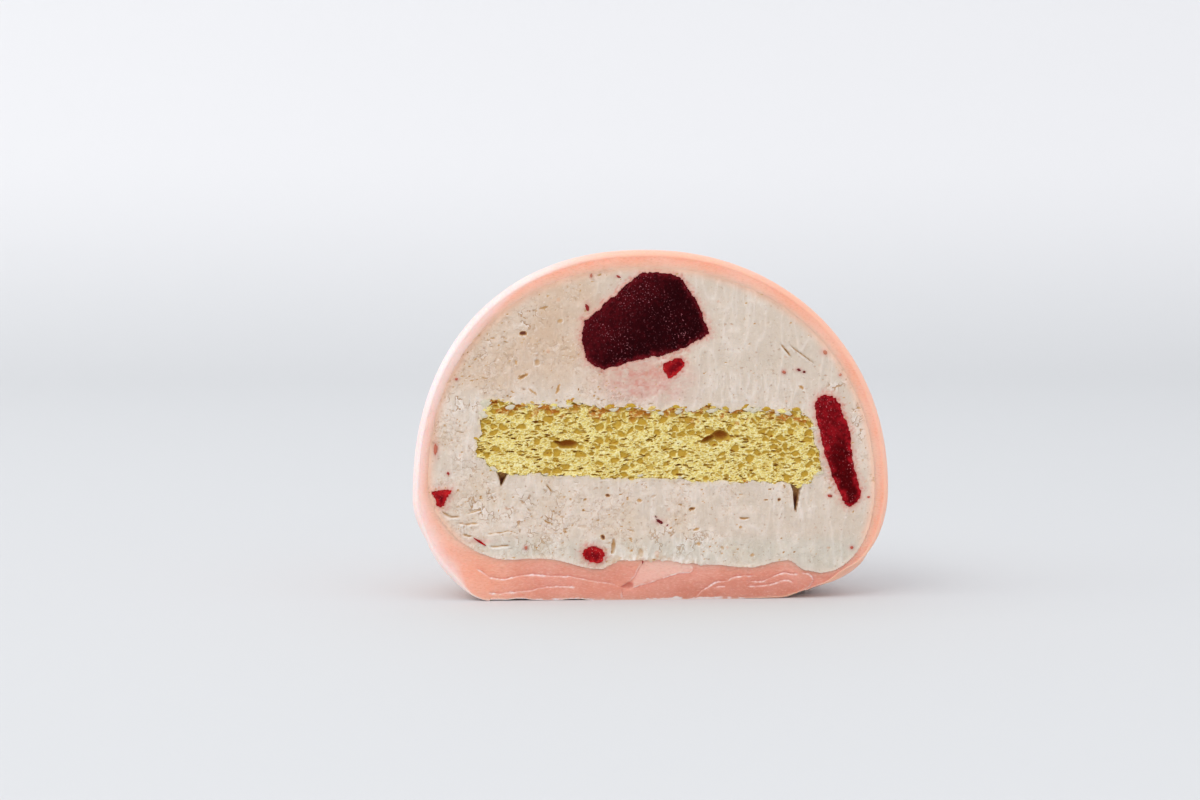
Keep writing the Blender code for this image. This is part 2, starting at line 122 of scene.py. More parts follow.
# The disc of sponge
SPONGE_RADIUS = 0.0223
SPONGE_X = -0.0005
SPONGE_MIDDLE_HEIGHT = 0.0204
SPONGE_HALF_THICKNESS = 0.0046
SPONGE_SLOPE = -0.042
SPONGE_END_DEPTH = 0.0030
SPONGE_LEFT_END = ((-1.0, 0.0026), (-0.5, 0.0), (1.0, 0.0010))
SPONGE_RIGHT_END = ((-1.0, 0.0009), (-0.5, 0.0), (1.0, 0.0017))

# The sponge's large bubbles: middle, half width, half height and turn in degrees
SPONGE_BUBBLES = (
    (-0.0111, 0.0203, 0.0015, 0.0006, 3),
    (-0.0123, 0.0205, 0.0007, 0.0003, -10),
    (0.0088, 0.0214, 0.0012, 0.0007, 0),
    (0.0073, 0.0209, 0.0011, 0.0004, 25),
)
# How deep the bubbles go and how dark their painted shade is
BUBBLE_DEPTH = 0.0009
BUBBLE_DARK = 0.9

# Scattered pores of the sponge: seed, how many, radii, height over width and how dark their painted shade
# is
SPONGE_PORES = (
    (88, 2600, (0.00005, 0.00011), 0.70, (0.2, 0.9)),
    (83, 2500, (0.00011, 0.00038), 0.28, (0.4, 1.0)),
)

# How finely the surfaces are divided
BASE_ROWS = 80
LOWER_ROWS = 40
UPPER_ROWS = 80
PLEAT_SAMPLES = 11
CUT_DEPTHS = (0.00004, 0.00012, 0.00026, 0.00045, 0.0007, 0.0010, 0.0014, 0.0018)
RING_LINES = 70
HOLLOW_COLUMNS = 16
CREAM_SPACING = 0.00014
SPONGE_SPACING = 0.00009
BERRY_SPACING = 0.00014
CHIP_SPACING = 0.0001
BACK_RINGS = 8
LINE_STEPS = 4
BERRY_LINE_STEPS = 14
SPONGE_LINE_STEPS = 400
SPONGE_END_STEPS = 40
SHARP_ANGLE = math.radians(58)

# How far in from an edge distances are worked out
EDGE_WIDTH = 0.0012

# How far the straight walls at the sponge's edge and in the cream's holes reach back
WALL_DEPTH = 0.0015

# How far the cream reaches over the edges of the berries
BERRY_OVERLAP = 0.00003

# How many random numbers each way a table holds before it repeats
RANDOM_TABLE = 512
CELL_TABLE = 256

# The values that each kind of surface holds at its points
SKIN_VALUES = ("cut", "starch", "shade", "pale", "valley", "base", "low", "dust", "peach", "creamy")
CREAM_VALUES = ("pit", "lip", "stain", "torn", "curl", "warm", "streak", "border", "crumby")
SPONGE_VALUES = ("pore", "wall", "crust")
BERRY_VALUES = ("edge", "pale", "dim")


@dataclass
class Berry:
    """A piece of berry on the cut: how far it reaches back, how finely its cut is divided, and its outline
    as (x, z) points anticlockwise."""

    node: str
    slot: str
    depth: float
    spacing: float
    outline: tuple


BERRIES = (
    Berry("berry_top", "berry_top", 0.0070, BERRY_SPACING, (
        (-0.0089, 0.0361), (-0.0093, 0.0339), (-0.0085, 0.0313), (-0.0075, 0.0304), (-0.0058, 0.0301),
        (-0.0027, 0.0310), (0.0025, 0.0322), (0.0068, 0.0342), (0.0072, 0.0349), (0.0064, 0.0371),
        (0.0057, 0.0387), (0.0045, 0.0406), (0.0028, 0.0422), (-0.0006, 0.0426), (-0.0020, 0.0422),
        (-0.0034, 0.0410), (-0.0052, 0.0394), (-0.0080, 0.0369),
    )),
    Berry("berry_side", "berry_side", 0.0045, BERRY_SPACING, (
        (0.0225, 0.0266), (0.0214, 0.0260), (0.0212, 0.0247), (0.0215, 0.0228), (0.0221, 0.0206),
        (0.0233, 0.0165), (0.0246, 0.0133), (0.0252, 0.0123), (0.0258, 0.0120), (0.0266, 0.0124),
        (0.0273, 0.0133), (0.0270, 0.0148), (0.0262, 0.0185), (0.0258, 0.0213), (0.0254, 0.0229),
        (0.0248, 0.0244), (0.0242, 0.0256), (0.0234, 0.0264),
    )),
    Berry("berry_chip_upper", "berry_chip", 0.0016, CHIP_SPACING, (
        (0.0014, 0.0306), (0.0016, 0.0295), (0.0022, 0.0287), (0.0032, 0.0295), (0.0040, 0.0302),
        (0.0040, 0.0310), (0.0035, 0.0316), (0.0023, 0.0311),
    )),
    Berry("berry_chip_left", "berry_chip", 0.0015, CHIP_SPACING, (
        (-0.0286, 0.0143), (-0.0282, 0.0132), (-0.0278, 0.0123), (-0.0271, 0.0124), (-0.0267, 0.0133),
        (-0.0261, 0.0144), (-0.0273, 0.0145),
    )),
    Berry("berry_chip_base", "berry_chip", 0.0018, CHIP_SPACING, (
        (-0.0092, 0.0064), (-0.0091, 0.0058), (-0.0084, 0.0052), (-0.0073, 0.0049), (-0.0067, 0.0050),
        (-0.0062, 0.0058), (-0.0068, 0.0068), (-0.0080, 0.0070),
    )),
)


@dataclass
class Crack:
    """A crack in the cream: half its width, how far it goes in, how dark its painted shade looks, and its
    line.
    """

    width: float
    depth: float
    dark: float
    points: tuple


CRACKS = (
    Crack(0.00012, 0.0006, 0.7, (
        (-0.0276, 0.0119), (-0.0271, 0.0115), (-0.0266, 0.0112), (-0.0261, 0.0110), (-0.0253, 0.0110),
        (-0.0247, 0.0111),
    )),
    Crack(0.00008, 0.0004, 0.7, (
        (-0.0244, 0.0113), (-0.0236, 0.0115), (-0.0227, 0.0118), (-0.0222, 0.0119), (-0.0215, 0.0127),
    )),
    Crack(0.00012, 0.0006, 0.7, (
        (-0.0255, 0.0102), (-0.0247, 0.0101), (-0.0240, 0.0100), (-0.0234, 0.0101), (-0.0223, 0.0102),
    )),
    Crack(0.00009, 0.0006, 1.0, ((-0.0248, 0.0088), (-0.0240, 0.0085), (-0.0233, 0.0084))),
    Crack(0.00011, 0.0006, 0.7, (
        (-0.0215, 0.0071), (-0.0208, 0.0071), (-0.0202, 0.0071), (-0.0191, 0.0072), (-0.0182, 0.0071),
    )),
    Crack(0.00007, 0.0004, 0.7, (
        (-0.0223, 0.0087), (-0.0212, 0.0087), (-0.0208, 0.0088), (-0.0196, 0.0089), (-0.0188, 0.0091),
        (-0.0180, 0.0089), (-0.0169, 0.0084),
    )),
    Crack(0.00007, 0.0003, 0.4, ((-0.0219, 0.0139), (-0.0210, 0.0140), (-0.0202, 0.0143))),
    Crack(0.00010, 0.0006, 0.9, ((-0.0140, 0.0153), (-0.0136, 0.0148), (-0.0130, 0.0140))),
    Crack(0.00007, 0.0004, 0.7, ((-0.0164, 0.0121), (-0.0158, 0.0116))),
    Crack(0.00009, 0.0005, 1.0, (
        (-0.0143, 0.0106), (-0.0137, 0.0102), (-0.0131, 0.0100), (-0.0129, 0.0097),
    )),
    Crack(0.00009, 0.0007, 1.2, ((0.0166, 0.0333), (0.0173, 0.0325), (0.0181, 0.0315))),
    Crack(0.00008, 0.0006, 0.7, ((0.0176, 0.0334), (0.0186, 0.0325), (0.0197, 0.0317), (0.0215, 0.0304))),
    Crack(0.00009, 0.0006, 1.2, ((0.0111, 0.0107), (0.0119, 0.0105), (0.0128, 0.0106))),
)

# Two gaps that the cream leaves under the ends of the sponge, filled with painted shade
CREAM_GAPS = (
    ((-0.0203, 0.0170), (-0.0199, 0.0158), (-0.0197, 0.0148), (-0.0190, 0.0161), (-0.0186, 0.0169)),
    (
        (0.0179, 0.0154), (0.0184, 0.0140), (0.0185, 0.0122), (0.0187, 0.0111), (0.0190, 0.0124),
        (0.0195, 0.0152),
    ),
)
CREAM_GAP_DEPTH = 0.0014

# How far forward the cream stands, so that its hollows and crests lie evenly about the cut
CREAM_RELIEF = 0.00024

# Scattered pits of the cream: seed, how many, radii, height over width and how dark their painted shade is
SMALL_PITS = (107, 5600, (0.00006, 0.00017), 0.8, (0.1, 0.9))
WIDE_PITS = (114, 900, (0.00012, 0.00045), 0.35, (0.1, 0.6))

# Single holes in the cream: middle, half width, half height, turn in degrees and how dark their painted
# shade is
CREAM_HOLES = (
    (-0.0168, 0.0347, 0.00045, 0.00032, 15, 1.0),
    (-0.0168, 0.0291, 0.00070, 0.00018, 25, 0.7),
    (-0.0156, 0.0272, 0.00070, 0.00013, -38, 0.5),
    (-0.0123, 0.0275, 0.00060, 0.00015, 65, 0.6),
    (-0.0096, 0.0274, 0.00012, 0.00012, 0, 1.0),
    (-0.0150, 0.0309, 0.00035, 0.00040, 0, 0.35),
    (-0.0177, 0.0310, 0.00015, 0.00030, 0, 0.45),
    (-0.0120, 0.0362, 0.00035, 0.00022, 30, 0.4),
    (0.0194, 0.0276, 0.00045, 0.00018, -45, 0.6),
    (-0.0059, 0.0136, 0.00032, 0.00020, -20, 0.9),
    (-0.0017, 0.0130, 0.00032, 0.00022, 0, 0.5),
    (0.0051, 0.0119, 0.00045, 0.00018, 10, 0.8),
    (0.0057, 0.0092, 0.00045, 0.00018, 15, 0.5),
    (0.0024, 0.0093, 0.00015, 0.00012, 0, 0.7),
    (0.0148, 0.0129, 0.00025, 0.00011, -15, 1.0),
    (0.0165, 0.0129, 0.00020, 0.00012, 10, 1.0),
    (0.0153, 0.0143, 0.00017, 0.00011, 0, 1.0),
    (0.0185, 0.0061, 0.00018, 0.00012, -20, 1.0),
    (0.0130, 0.0057, 0.00030, 0.00020, 0, 0.4),
    (0.0091, 0.0067, 0.00030, 0.00020, 0, 0.35),
    (0.0060, 0.0072, 0.00025, 0.00020, 0, 0.45),
    (0.0115, 0.0093, 0.00025, 0.00022, 40, 0.5),
    (-0.0065, 0.0082, 0.00035, 0.00022, -40, 0.95),
    (-0.0051, 0.0070, 0.00026, 0.00085, 0, 0.45),
    (-0.0052, 0.0062, 0.00016, 0.00024, 0, 1.0),
    (-0.0015, 0.0061, 0.00035, 0.00045, 0, 0.3),
)

# Places where the cream is torn into small curls: middle, half width, half height and how strongly
CREAM_CURLS = (
    (-0.0212, 0.0324, 0.0011, 0.0016, 1.0),
    (-0.0246, 0.0259, 0.0020, 0.0014, 1.0),
    (-0.0163, 0.0365, 0.0022, 0.0014, 0.8),
    (-0.0238, 0.0185, 0.0025, 0.0030, 0.4),
    (-0.0218, 0.0125, 0.0026, 0.0022, 0.8),
    (-0.0155, 0.0110, 0.0042, 0.0044, 0.7),
    (0.0244, 0.0280, 0.0016, 0.0008, 0.9),
    (0.0268, 0.0228, 0.0009, 0.0028, 0.8),
    (0.0030, 0.0078, 0.0060, 0.0022, 0.5),
)

# The pink stain that juice left under the large berry: its middle, half width and half height
STAIN = (-0.0010, 0.0286, 0.0056, 0.0026)


@dataclass
class Fold:
    """A line along which one layer of the skin lies on the next: how far the layer above it steps back, how
    much white starch it holds, and its points."""

    step: float
    starch: float
    points: tuple


FOLDS = (
    Fold(0.00014, 1.0, (
        (-0.0233, 0.0043), (-0.0226, 0.0040), (-0.0218, 0.0035), (-0.0211, 0.0030), (-0.0193, 0.0028),
        (-0.0182, 0.0030), (-0.0166, 0.0033), (-0.0152, 0.0033), (-0.0138, 0.0032), (-0.0113, 0.0031),
        (-0.0098, 0.0029), (-0.0084, 0.0026), (-0.0072, 0.0023), (-0.0067, 0.0023), (-0.0054, 0.0021),
        (-0.0045, 0.0017),
    )),
    Fold(0.00008, 1.0, (
        (-0.0215, 0.0010), (-0.0201, 0.0009), (-0.0188, 0.0010), (-0.0173, 0.0012), (-0.0158, 0.0013),
        (-0.0147, 0.0016), (-0.0138, 0.0017), (-0.0125, 0.0018), (-0.0113, 0.0018), (-0.0100, 0.0017),
    )),
    Fold(-0.00007, 1.0, (
        (-0.0027, 0.0015), (-0.0016, 0.0019), (-0.0004, 0.0022), (0.0009, 0.0027), (0.0020, 0.0030),
        (0.0033, 0.0034), (0.0046, 0.0035), (0.0051, 0.0037), (0.0052, 0.0041), (0.0048, 0.0044),
    )),
    Fold(0.00010, 1.0, (
        (0.0053, 0.0001), (0.0059, 0.0005), (0.0064, 0.0010), (0.0071, 0.0014), (0.0082, 0.0021),
        (0.0097, 0.0023), (0.0104, 0.0027), (0.0115, 0.0029), (0.0134, 0.0030),
    )),
    Fold(0.00010, 0.7, (
        (0.0122, 0.0022), (0.0134, 0.0022), (0.0146, 0.0023), (0.0155, 0.0027), (0.0166, 0.0031),
        (0.0174, 0.0033), (0.0183, 0.0031), (0.0192, 0.0032),
    )),
    Fold(0.00006, 0.8, (
        (0.0122, 0.0016), (0.0137, 0.0016), (0.0148, 0.0017), (0.0159, 0.0019), (0.0170, 0.0023),
        (0.0179, 0.0023), (0.0185, 0.0019),
    )),
    Fold(0.00004, 0.5, ((0.0080, 0.0014), (0.0088, 0.0016), (0.0095, 0.0016))),
    Fold(0.00012, 1.0, (
        (0.0195, 0.0033), (0.0205, 0.0031), (0.0210, 0.0025), (0.0208, 0.0019), (0.0201, 0.0012),
        (0.0192, 0.0007), (0.0179, 0.0004),
    )),
    Fold(0.00005, 0.45, (
        (-0.0012, 0.0051), (-0.0015, 0.0047), (-0.0020, 0.0039), (-0.0024, 0.0031), (-0.0031, 0.0024),
        (-0.0040, 0.0017), (-0.0041, 0.0009), (-0.0040, 0.0001),
    )),
)
FOLD_LINE = 0.00008
FOLD_CREASE = 0.00005
FOLD_REACH = 0.0009

# How far to each side the foot has starch
FOOT_STARCH_REACH = 0.0205

# The small hollow where the folds of the left and right meet, darkened with painted shade, and the paler
# piece of skin beside it
MEETING_HOLLOW = ((-0.0030, 0.0024), (-0.0042, 0.0017), (-0.0031, 0.0014), (-0.0024, 0.0018))
MEETING_DEPTH = 0.0003
PALE_PIECE = (
    (-0.0013, 0.0049), (-0.0020, 0.0038), (-0.0026, 0.0018), (-0.0010, 0.0022), (0.0018, 0.0030),
    (0.0050, 0.0037), (0.0050, 0.0047), (0.0020, 0.0050),
)


def ease(low, high, value):
    """0 below low, 1 above high, and a smooth rise between them."""
    share = np.clip((value - low) / (high - low), 0, 1)
    return share * share * (3 - 2 * share)


def height_on(line, x):
    """The height of a line of (x, z) points at x, smooth between the points and level past its ends."""
    xs, zs = np.array(line).T
    start = np.clip(np.searchsorted(xs, x) - 1, 0, len(xs) - 2)
    return zs[start] + (zs[start + 1] - zs[start]) * ease(xs[start], xs[start + 1], x)


def grain(x, z, size, seed):
    """Smooth random values between -1 and 1 that change over size."""
    return long_grain(x, z, size, size, seed)


def grain_on(line, size, seed):
    """The same random values at the points of a line."""
    return grain(line[:, 0], line[:, 1], size, seed)


def long_grain(x, z, size_x, size_z, seed):
    """Smooth random values between -1 and 1 that change over size_x and size_z."""
    table = np.random.default_rng(seed).uniform(-1, 1, (RANDOM_TABLE, RANDOM_TABLE))
    u, v = x / size_x, z / size_z
    i, j = np.floor(u).astype(int), np.floor(v).astype(int)
    s, t = ease(0, 1, u - i), ease(0, 1, v - j)
    left, right = i % RANDOM_TABLE, (i + 1) % RANDOM_TABLE
    below, above = j % RANDOM_TABLE, (j + 1) % RANDOM_TABLE
    low = table[left, below] * (1 - s) + table[right, below] * s
    high = table[left, above] * (1 - s) + table[right, above] * s
    return low * (1 - t) + high * t


def foam_cells(x, z, size_x, size_z, seed):
    """Random cells like those of a foam: how far each place lies from its cell's wall, as a share of the
    cell's size, and a random number from 0 to 1 that belongs to the cell."""
    draws = np.random.default_rng(seed).random((CELL_TABLE, CELL_TABLE, 3))
    u, v = x / size_x, z / size_z
    i, j = np.floor(u).astype(int), np.floor(v).astype(int)
    nearest, second, kind = np.full(x.shape, 9.0), np.full(x.shape, 9.0), np.zeros(x.shape)
    for step_i in (-1, 0, 1):
        for step_j in (-1, 0, 1):
            draw = draws[(i + step_i) % CELL_TABLE, (j + step_j) % CELL_TABLE]
            away = np.hypot(i + step_i + draw[..., 0] - u, j + step_j + draw[..., 1] - v)
            closer = away < nearest
            second = np.where(closer, nearest, np.minimum(second, away))
            kind = np.where(closer, draw[..., 2], kind)
            nearest = np.minimum(nearest, away)
    return second - nearest, kind


def curve(points, steps, closed=False):
    """A smooth line through points, with steps pieces between each two of them."""
    points = np.array(points)
    if closed:
        points = np.concatenate([points[-1:], points, points[:2]])
    else:
        first, last = 2 * points[0] - points[1], 2 * points[-1] - points[-2]
        points = np.concatenate([[first], points, [last]])
    before, start, end, after = points[:-3, None], points[1:-2, None], points[2:-1, None], points[3:, None]
    share = (np.arange(steps) / steps)[None, :, None]
    bend = 2 * before - 5 * start + 4 * end - after
    turn = 3 * start - before - 3 * end + after
    line = start + 0.5 * share * (end - before + share * (bend + share * turn))
    line = line.reshape(-1, 2)
    return line if closed else np.concatenate([line, points[-2:-1]])


class Near:
    """For each of many points: how far it is from a line, on which side (1 above a line that runs to the
    right, -1 below it), the line's nearest place, and how far along the line that is, from 0 to 1."""

    def __init__(self, shape, reach):
        self.distance = np.full(shape, float(reach))
        self.side = np.ones(shape)
        self.x = np.zeros(shape)
        self.z = np.zeros(shape)
        self.along = np.zeros(shape)

    def take(self, part, x, z, start, end, run):
        """Takes one straight piece of the line into account, for some part of the points."""
        way = end - start
        share = np.clip(((x - start[0]) * way[0] + (z - start[1]) * way[1]) / (way @ way), 0, 1)
        foot_x, foot_z = start[0] + share * way[0], start[1] + share * way[1]
        distance = np.hypot(x - foot_x, z - foot_z)
        closer = distance < self.distance[part]
        above = way[0] * (z - foot_z) - way[1] * (x - foot_x) >= 0
        for stored, value in (
            (self.distance, distance),
            (self.side, np.where(above, 1, -1)),
            (self.x, foot_x),
            (self.z, foot_z),
            (self.along, run[0] + (run[1] - run[0]) * share),
        ):
            stored[part][closer] = value[closer]


def near_line(x, z, line, reach=np.inf):
    """How many points lie to a line. With a reach, x and z are a regular grid, and only the points within
    reach of the line are worked out."""
    near = Near(np.shape(x), reach)
    axes = (x.mean(0), z.mean(1)) if reach < np.inf else None
    lengths = np.linalg.norm(np.diff(line, axis=0), axis=1)
    run = np.concatenate([[0], np.cumsum(lengths)]) / lengths.sum()
    for k in np.nonzero(lengths)[0]:
        start, end = line[k], line[k + 1]
        part = ...
        if axes:
            part = window(axes, np.minimum(start, end) - reach, np.maximum(start, end) + reach)
        near.take(part, x[part], z[part], start, end, run[k : k + 2])
    return near


def window(axes, low, high):
    """The rows and columns of a regular grid between two corners."""
    columns = slice(*np.searchsorted(axes[0], (low[0], high[0])))
    rows = slice(*np.searchsorted(axes[1], (low[1], high[1])))
    return rows, columns


def near_outline(x, z, outline, reach=np.inf):
    """How many points lie to a closed outline; distance is less than 0 outside it."""
    line = np.concatenate([outline, outline[:1]])
    near = near_line(x, z, line, reach)
    inside = np.zeros(np.shape(x), bool)
    for (x_start, z_start), (x_end, z_end) in zip(line, line[1:]):
        if z_start != z_end:
            spans = (z_start > z) != (z_end > z)
            crossing = (x_end - x_start) * (z[spans] - z_start) / (z_end - z_start) + x_start
            inside[spans] ^= x[spans] < crossing
    near.distance = np.where(inside, near.distance, -near.distance)
    return near


class Build:
    """Gathers the points, faces and point values of one mesh."""

    def __init__(self, *value_names):
        self.points = []
        self.faces = []
        self.values = {name: [] for name in value_names}
        self.count = 0

    def add(self, points, **values):
        """Adds points of shape (..., 3) and returns their numbers; a value not given is 0."""
        points = np.asarray(points, float)
        shape = points.shape[:-1]
        numbers = self.count + np.arange(math.prod(shape)).reshape(shape)
        self.points.append(points.reshape(-1, 3))
        self.count += numbers.size
        for name, stored in self.values.items():
            stored.append(np.broadcast_to(values.get(name, 0.0), shape).ravel())
        return numbers

    def sheet(self, numbers, keep=None):
        """Faces between neighbours in a grid of point numbers, or only those cells that keep marks."""
        corners = (numbers[:-1, :-1], numbers[:-1, 1:], numbers[1:, 1:], numbers[1:, :-1])
        cells = np.stack(corners, -1)
        self.faces.extend((cells[keep] if keep is not None else cells.reshape(-1, 4)).tolist())

    def finish(self, name, node, material):
        """Makes the piece, moves it into the frame's place and lets it stand for its node."""
        faces = [list(dict.fromkeys(face)) for face in self.faces]
        faces = [face for face in faces if len(face) > 2]
        used = np.unique(np.concatenate([np.array(face) for face in faces]))
        renumber = np.zeros(self.count, int)
        renumber[used] = np.arange(len(used))
        points = np.concatenate(self.points)[used] + (0, CUT_Y, 0)
        mesh = bpy.data.meshes.new(name)
        mesh.from_pydata(points.tolist(), [], [renumber[face].tolist() for face in faces])
        for key, stored in self.values.items():
            attribute = mesh.attributes.new(key, "FLOAT", "POINT")
            attribute.data.foreach_set("value", np.concatenate(stored)[used].astype(np.float32))
        face_out(mesh)
        mesh.shade_smooth()
        mesh.set_sharp_from_angle(angle=SHARP_ANGLE)
        mesh.materials.append(material)
        piece = bpy.data.objects.new(name, mesh)
        bpy.context.scene.collection.objects.link(piece)
        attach(piece, "root")
        if node:
            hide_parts(node)


def face_out(mesh):
    """Turns all faces of a mesh to point out of it."""
    bm = bmesh.new()
    bm.from_mesh(mesh)
    bmesh.ops.recalc_face_normals(bm, faces=bm.faces)
    bm.to_mesh(mesh)
    bm.free()


def section_row(side, top, direction):
    """Points (x, z) of one half of a section, where direction is 1 to the right and -1 to the left."""
    base = np.linspace(0, side.foot, BASE_ROWS + 1)
    base = np.stack([direction * base, np.full(len(base), side.foot_height)], -1)
    angle = np.pi / 2 * np.arange(1, LOWER_ROWS + 1) / LOWER_ROWS
    out = np.sin(angle) ** (2 / side.lower_power)
    down = np.maximum(np.cos(angle), 0) ** (2 / side.lower_power)
    x = side.foot + (side.half_width - side.foot) * out
    lower = np.stack([direction * x, side.waist - (side.waist - side.foot_height) * down], -1)
    from_top = np.pi / 2 * (1 - np.arange(1, UPPER_ROWS + 1) / UPPER_ROWS) ** 1.4
    out = np.sin(from_top) ** (2 / side.upper_power)
    up = np.cos(from_top) ** (2 / side.upper_power)
    x = TOP_X + (direction * side.half_width - TOP_X) * out
    upper = np.stack([x, side.waist + (top - side.waist) * up], -1)
    return np.concatenate([base, lower, upper])


def half_rings(left, right, angles):
    """Half rings from right, round the back, to left, for rows of (x, z) points on both sides."""
    middle = (left[:, :1] + right[:, :1]) / 2
    radius = (right[:, :1] - left[:, :1]) / 2
    x = middle + radius * np.cos(angles)
    y = DEPTH_RATIO * radius * np.sin(angles)
    z = left[:, 1:] + (right[:, 1:] - left[:, 1:]) * (1 + np.cos(angles)) / 2
    return np.stack([x, y, z], -1)


def pleat_valley(angle, height):
    """How far into a valley between two pleats a point lies, from 0 on a pleat to 1 in the valley."""
    lean = PLEAT_LEAN * height / PLEAT_TOP
    uneven = 0.030 * np.sin(3 * angle + 1.0) + 0.018 * np.sin(7 * angle)
    wave = 0.5 + 0.5 * np.cos(PLEATS_ROUND * (angle + uneven - lean))
    return wave**3 * (1 + 0.25 * np.sin(5 * angle + 0.6))


def round_cut_edge(points):
    """Pulls points of the outside inwards where they lie close to the cut."""
    share = 1 - np.clip(points[..., 1] / EDGE_REACH, 0, 1)
    pull = EDGE_PULL * (1 - np.sqrt(1 - share**2)) * ease(0.0, EDGE_FREE_HEIGHT, points[..., 2])
    out = points * (1, 0, 1) - (0, 0, EDGE_CENTRE_HEIGHT)
    out /= np.linalg.norm(out, axis=-1, keepdims=True)
    return points - out * pull[..., None]


def lift_end(points):
    """Lifts the underside at the right end of the cut and over the two gaps under it."""
    x, y, z = points[..., 0], points[..., 1], points[..., 2]
    lift = END_LIFT * ease(END_LIFT_FROM, END_LIFT_TO, x) * (1 - ease(0, END_LIFT_REACH, y))
    for middle, half_width in UNDERSIDE_GAPS:
        gap = np.exp(-(((x - middle) / half_width) ** 4))
        lift += UNDERSIDE_GAP_HEIGHT * gap * (1 - ease(0, UNDERSIDE_GAP_REACH, y))
    return np.stack([x, y, z + lift * np.maximum(0, 1 - z / END_LIFT_TOP)], -1)


def outside_surface():
    """Points of the outside as rows and columns, and how far each lies in a pleat's valley."""
    samples = PLEATS_ROUND // 2 * PLEAT_SAMPLES
    angles = np.linspace(0, np.pi, samples + 1)
    near = np.arcsin(np.array(CUT_DEPTHS) / DEPTH)
    angles = np.sort(np.concatenate([angles[1:-1], near, np.pi - near, [0, np.pi]]))
    left = section_row(OUTSIDE_LEFT, HEIGHT, -1)
    right = section_row(OUTSIDE_RIGHT, HEIGHT, 1)
    points = half_rings(left, right, angles)
    share = np.minimum(np.arange(len(left)) / BASE_ROWS, 1)[:, None]
    under = (np.arange(len(left)) <= BASE_ROWS)[:, None]
    valley = pleat_valley(angles[None, :], points[..., 2])
    under_fade = ease(PLEAT_INNER_SHARE, 1.0, share)
    side_fade = 1 - ease(0.25 * PLEAT_TOP, PLEAT_TOP, points[..., 2])
    points[..., 2] += np.where(under, PLEAT_FOOT_RISE * under_fade * valley, 0)
    push = PLEAT_DEPTH * valley * np.where(share >= 1, side_fade, ease(0.85, 1.0, share))
    flat = points * (1, 1, 0)
    reach = np.maximum(np.linalg.norm(flat, axis=-1), 1e-6)
    points -= flat * (push / reach)[..., None]
    points = round_cut_edge(points)
    return lift_end(points), valley * np.where(under, under_fade, side_fade)


def hollow_surface():
    """Points of the hollow in the skin, as rows and columns."""
    left = section_row(CAVITY_LEFT, CAVITY_TOP, -1)
    right = section_row(CAVITY_RIGHT, CAVITY_TOP, 1)
    points = half_rings(left, right, np.linspace(0, np.pi, HOLLOW_COLUMNS + 1))
    share = np.minimum(np.arange(len(left)) / BASE_ROWS, 1)[:, None]
    line = height_on(FLOOR_LINE, points[..., 0])
    evened = points[..., 2] + (FLOOR_MEAN - points[..., 2]) * (1 - share)
    floor = line + (evened - line) * ease(0, FLOOR_WAVE_REACH, points[..., 1])
    points[..., 2] = np.where(share < 1, floor, points[..., 2])
    return points


def rim(rows):
    """The closed line in which a half-round surface meets the cut, from its bottom up the right side."""
    return np.concatenate([rows[:, 0], rows[-2::-1, -1]])


def share_columns(numbers, needed):
    """Lets each column that isn't needed share the point of the needed column before it."""
    source = np.maximum.accumulate(np.where(needed, np.arange(len(needed)), 0))
    return numbers[:, source]


def fold_relief(x, z):
    """How far the folds set the skin's cut back, their white starch and their shaded creases."""
    depth, starch, shade = np.zeros(x.shape), np.zeros(x.shape), np.zeros(x.shape)
    uneven = grain(x, z, 0.0003, 21)
    for number, fold in enumerate(FOLDS):
        wander = 0.00005 * grain(x, z, 0.0006, 60 + number)
        near = near_line(x, z + wander, curve(fold.points, LINE_STEPS))
        fade = ease(0, 0.06, near.along) * (1 - ease(0.94, 1, near.along))
        above = near.distance * near.side
        broken = ease(-0.6, 0.5, grain(x, z, 0.0008, 40 + number))
        thin = FOLD_LINE * (1 + 0.5 * uneven) * (0.7 + 0.6 * broken)
        dotted = 0.55 + 0.75 * ease(-0.3, 0.4, grain(x, z, 0.00016, 22))
        white = fold.starch * fade * (0.3 + 0.7 * broken) * dotted
        starch = np.maximum(starch, white * np.exp(-((above / thin) ** 2)))
        crease = np.exp(-(((above - 0.00012 * np.sign(fold.step)) / 0.00007) ** 2))
        depth += FOLD_CREASE * fade * crease * broken
        shade += fade * crease * (0.3 + 0.7 * broken)
        back = ease(-0.00006, 0.00010, above * np.sign(fold.step))
        depth += abs(fold.step) * fade * back * np.exp(-near.distance / FOLD_REACH)
        shade += 0.35 * fade * back * np.exp(-near.distance / 0.0004)
    return depth, starch, shade


def make_skin():
    """The rice skin: powdered outside, pleated foot, and the folded layers that the cut shows."""
    build = Build(*SKIN_VALUES)
    points, valley = outside_surface()
    by_cut = 1 - ease(0, 0.005, points[..., 1])
    lit = lit_share(points[..., 0])
    # Near the cut, the lit left gets pale dust that is partly a painted highlight
    outside = build.add(points, valley=valley, dust=by_cut * lit, peach=by_cut * (1 - lit))
    close_ends(outside)
    pleated = slice(int(PLEAT_INNER_SHARE * BASE_ROWS), BASE_ROWS + LOWER_ROWS + 1)
    columns = np.arange(outside.shape[1])
    beside_cut = np.minimum(columns, columns[-1] - columns) <= len(CUT_DEPTHS) + 2
    mixed = share_columns(outside, beside_cut | (columns % 3 == 0))
    mixed[pleated] = outside[pleated]
    build.sheet(mixed)

    hollow_points = hollow_surface()
    hollow = build.add(hollow_points, cut=1.0)
    close_ends(hollow)
    build.sheet(hollow)

    ring = add_cut(build, finer(rim(points)[:, (0, 2)]), finer(rim(hollow_points)[:, (0, 2)]))
    outer, inner = (np.repeat(rim(numbers), 2)[None, :-1] for numbers in (mixed, hollow))
    build.sheet(np.concatenate([outer, ring, inner]))
    build.finish("skin", "mochi_skin", skin_material())


def lit_share(x):
    """How much a place lies on the left, the lit side, where the skin gets pale dust that is also a painted
    highlight; elsewhere it is more peach.
    """
    return ease(0.002, -0.022, x)


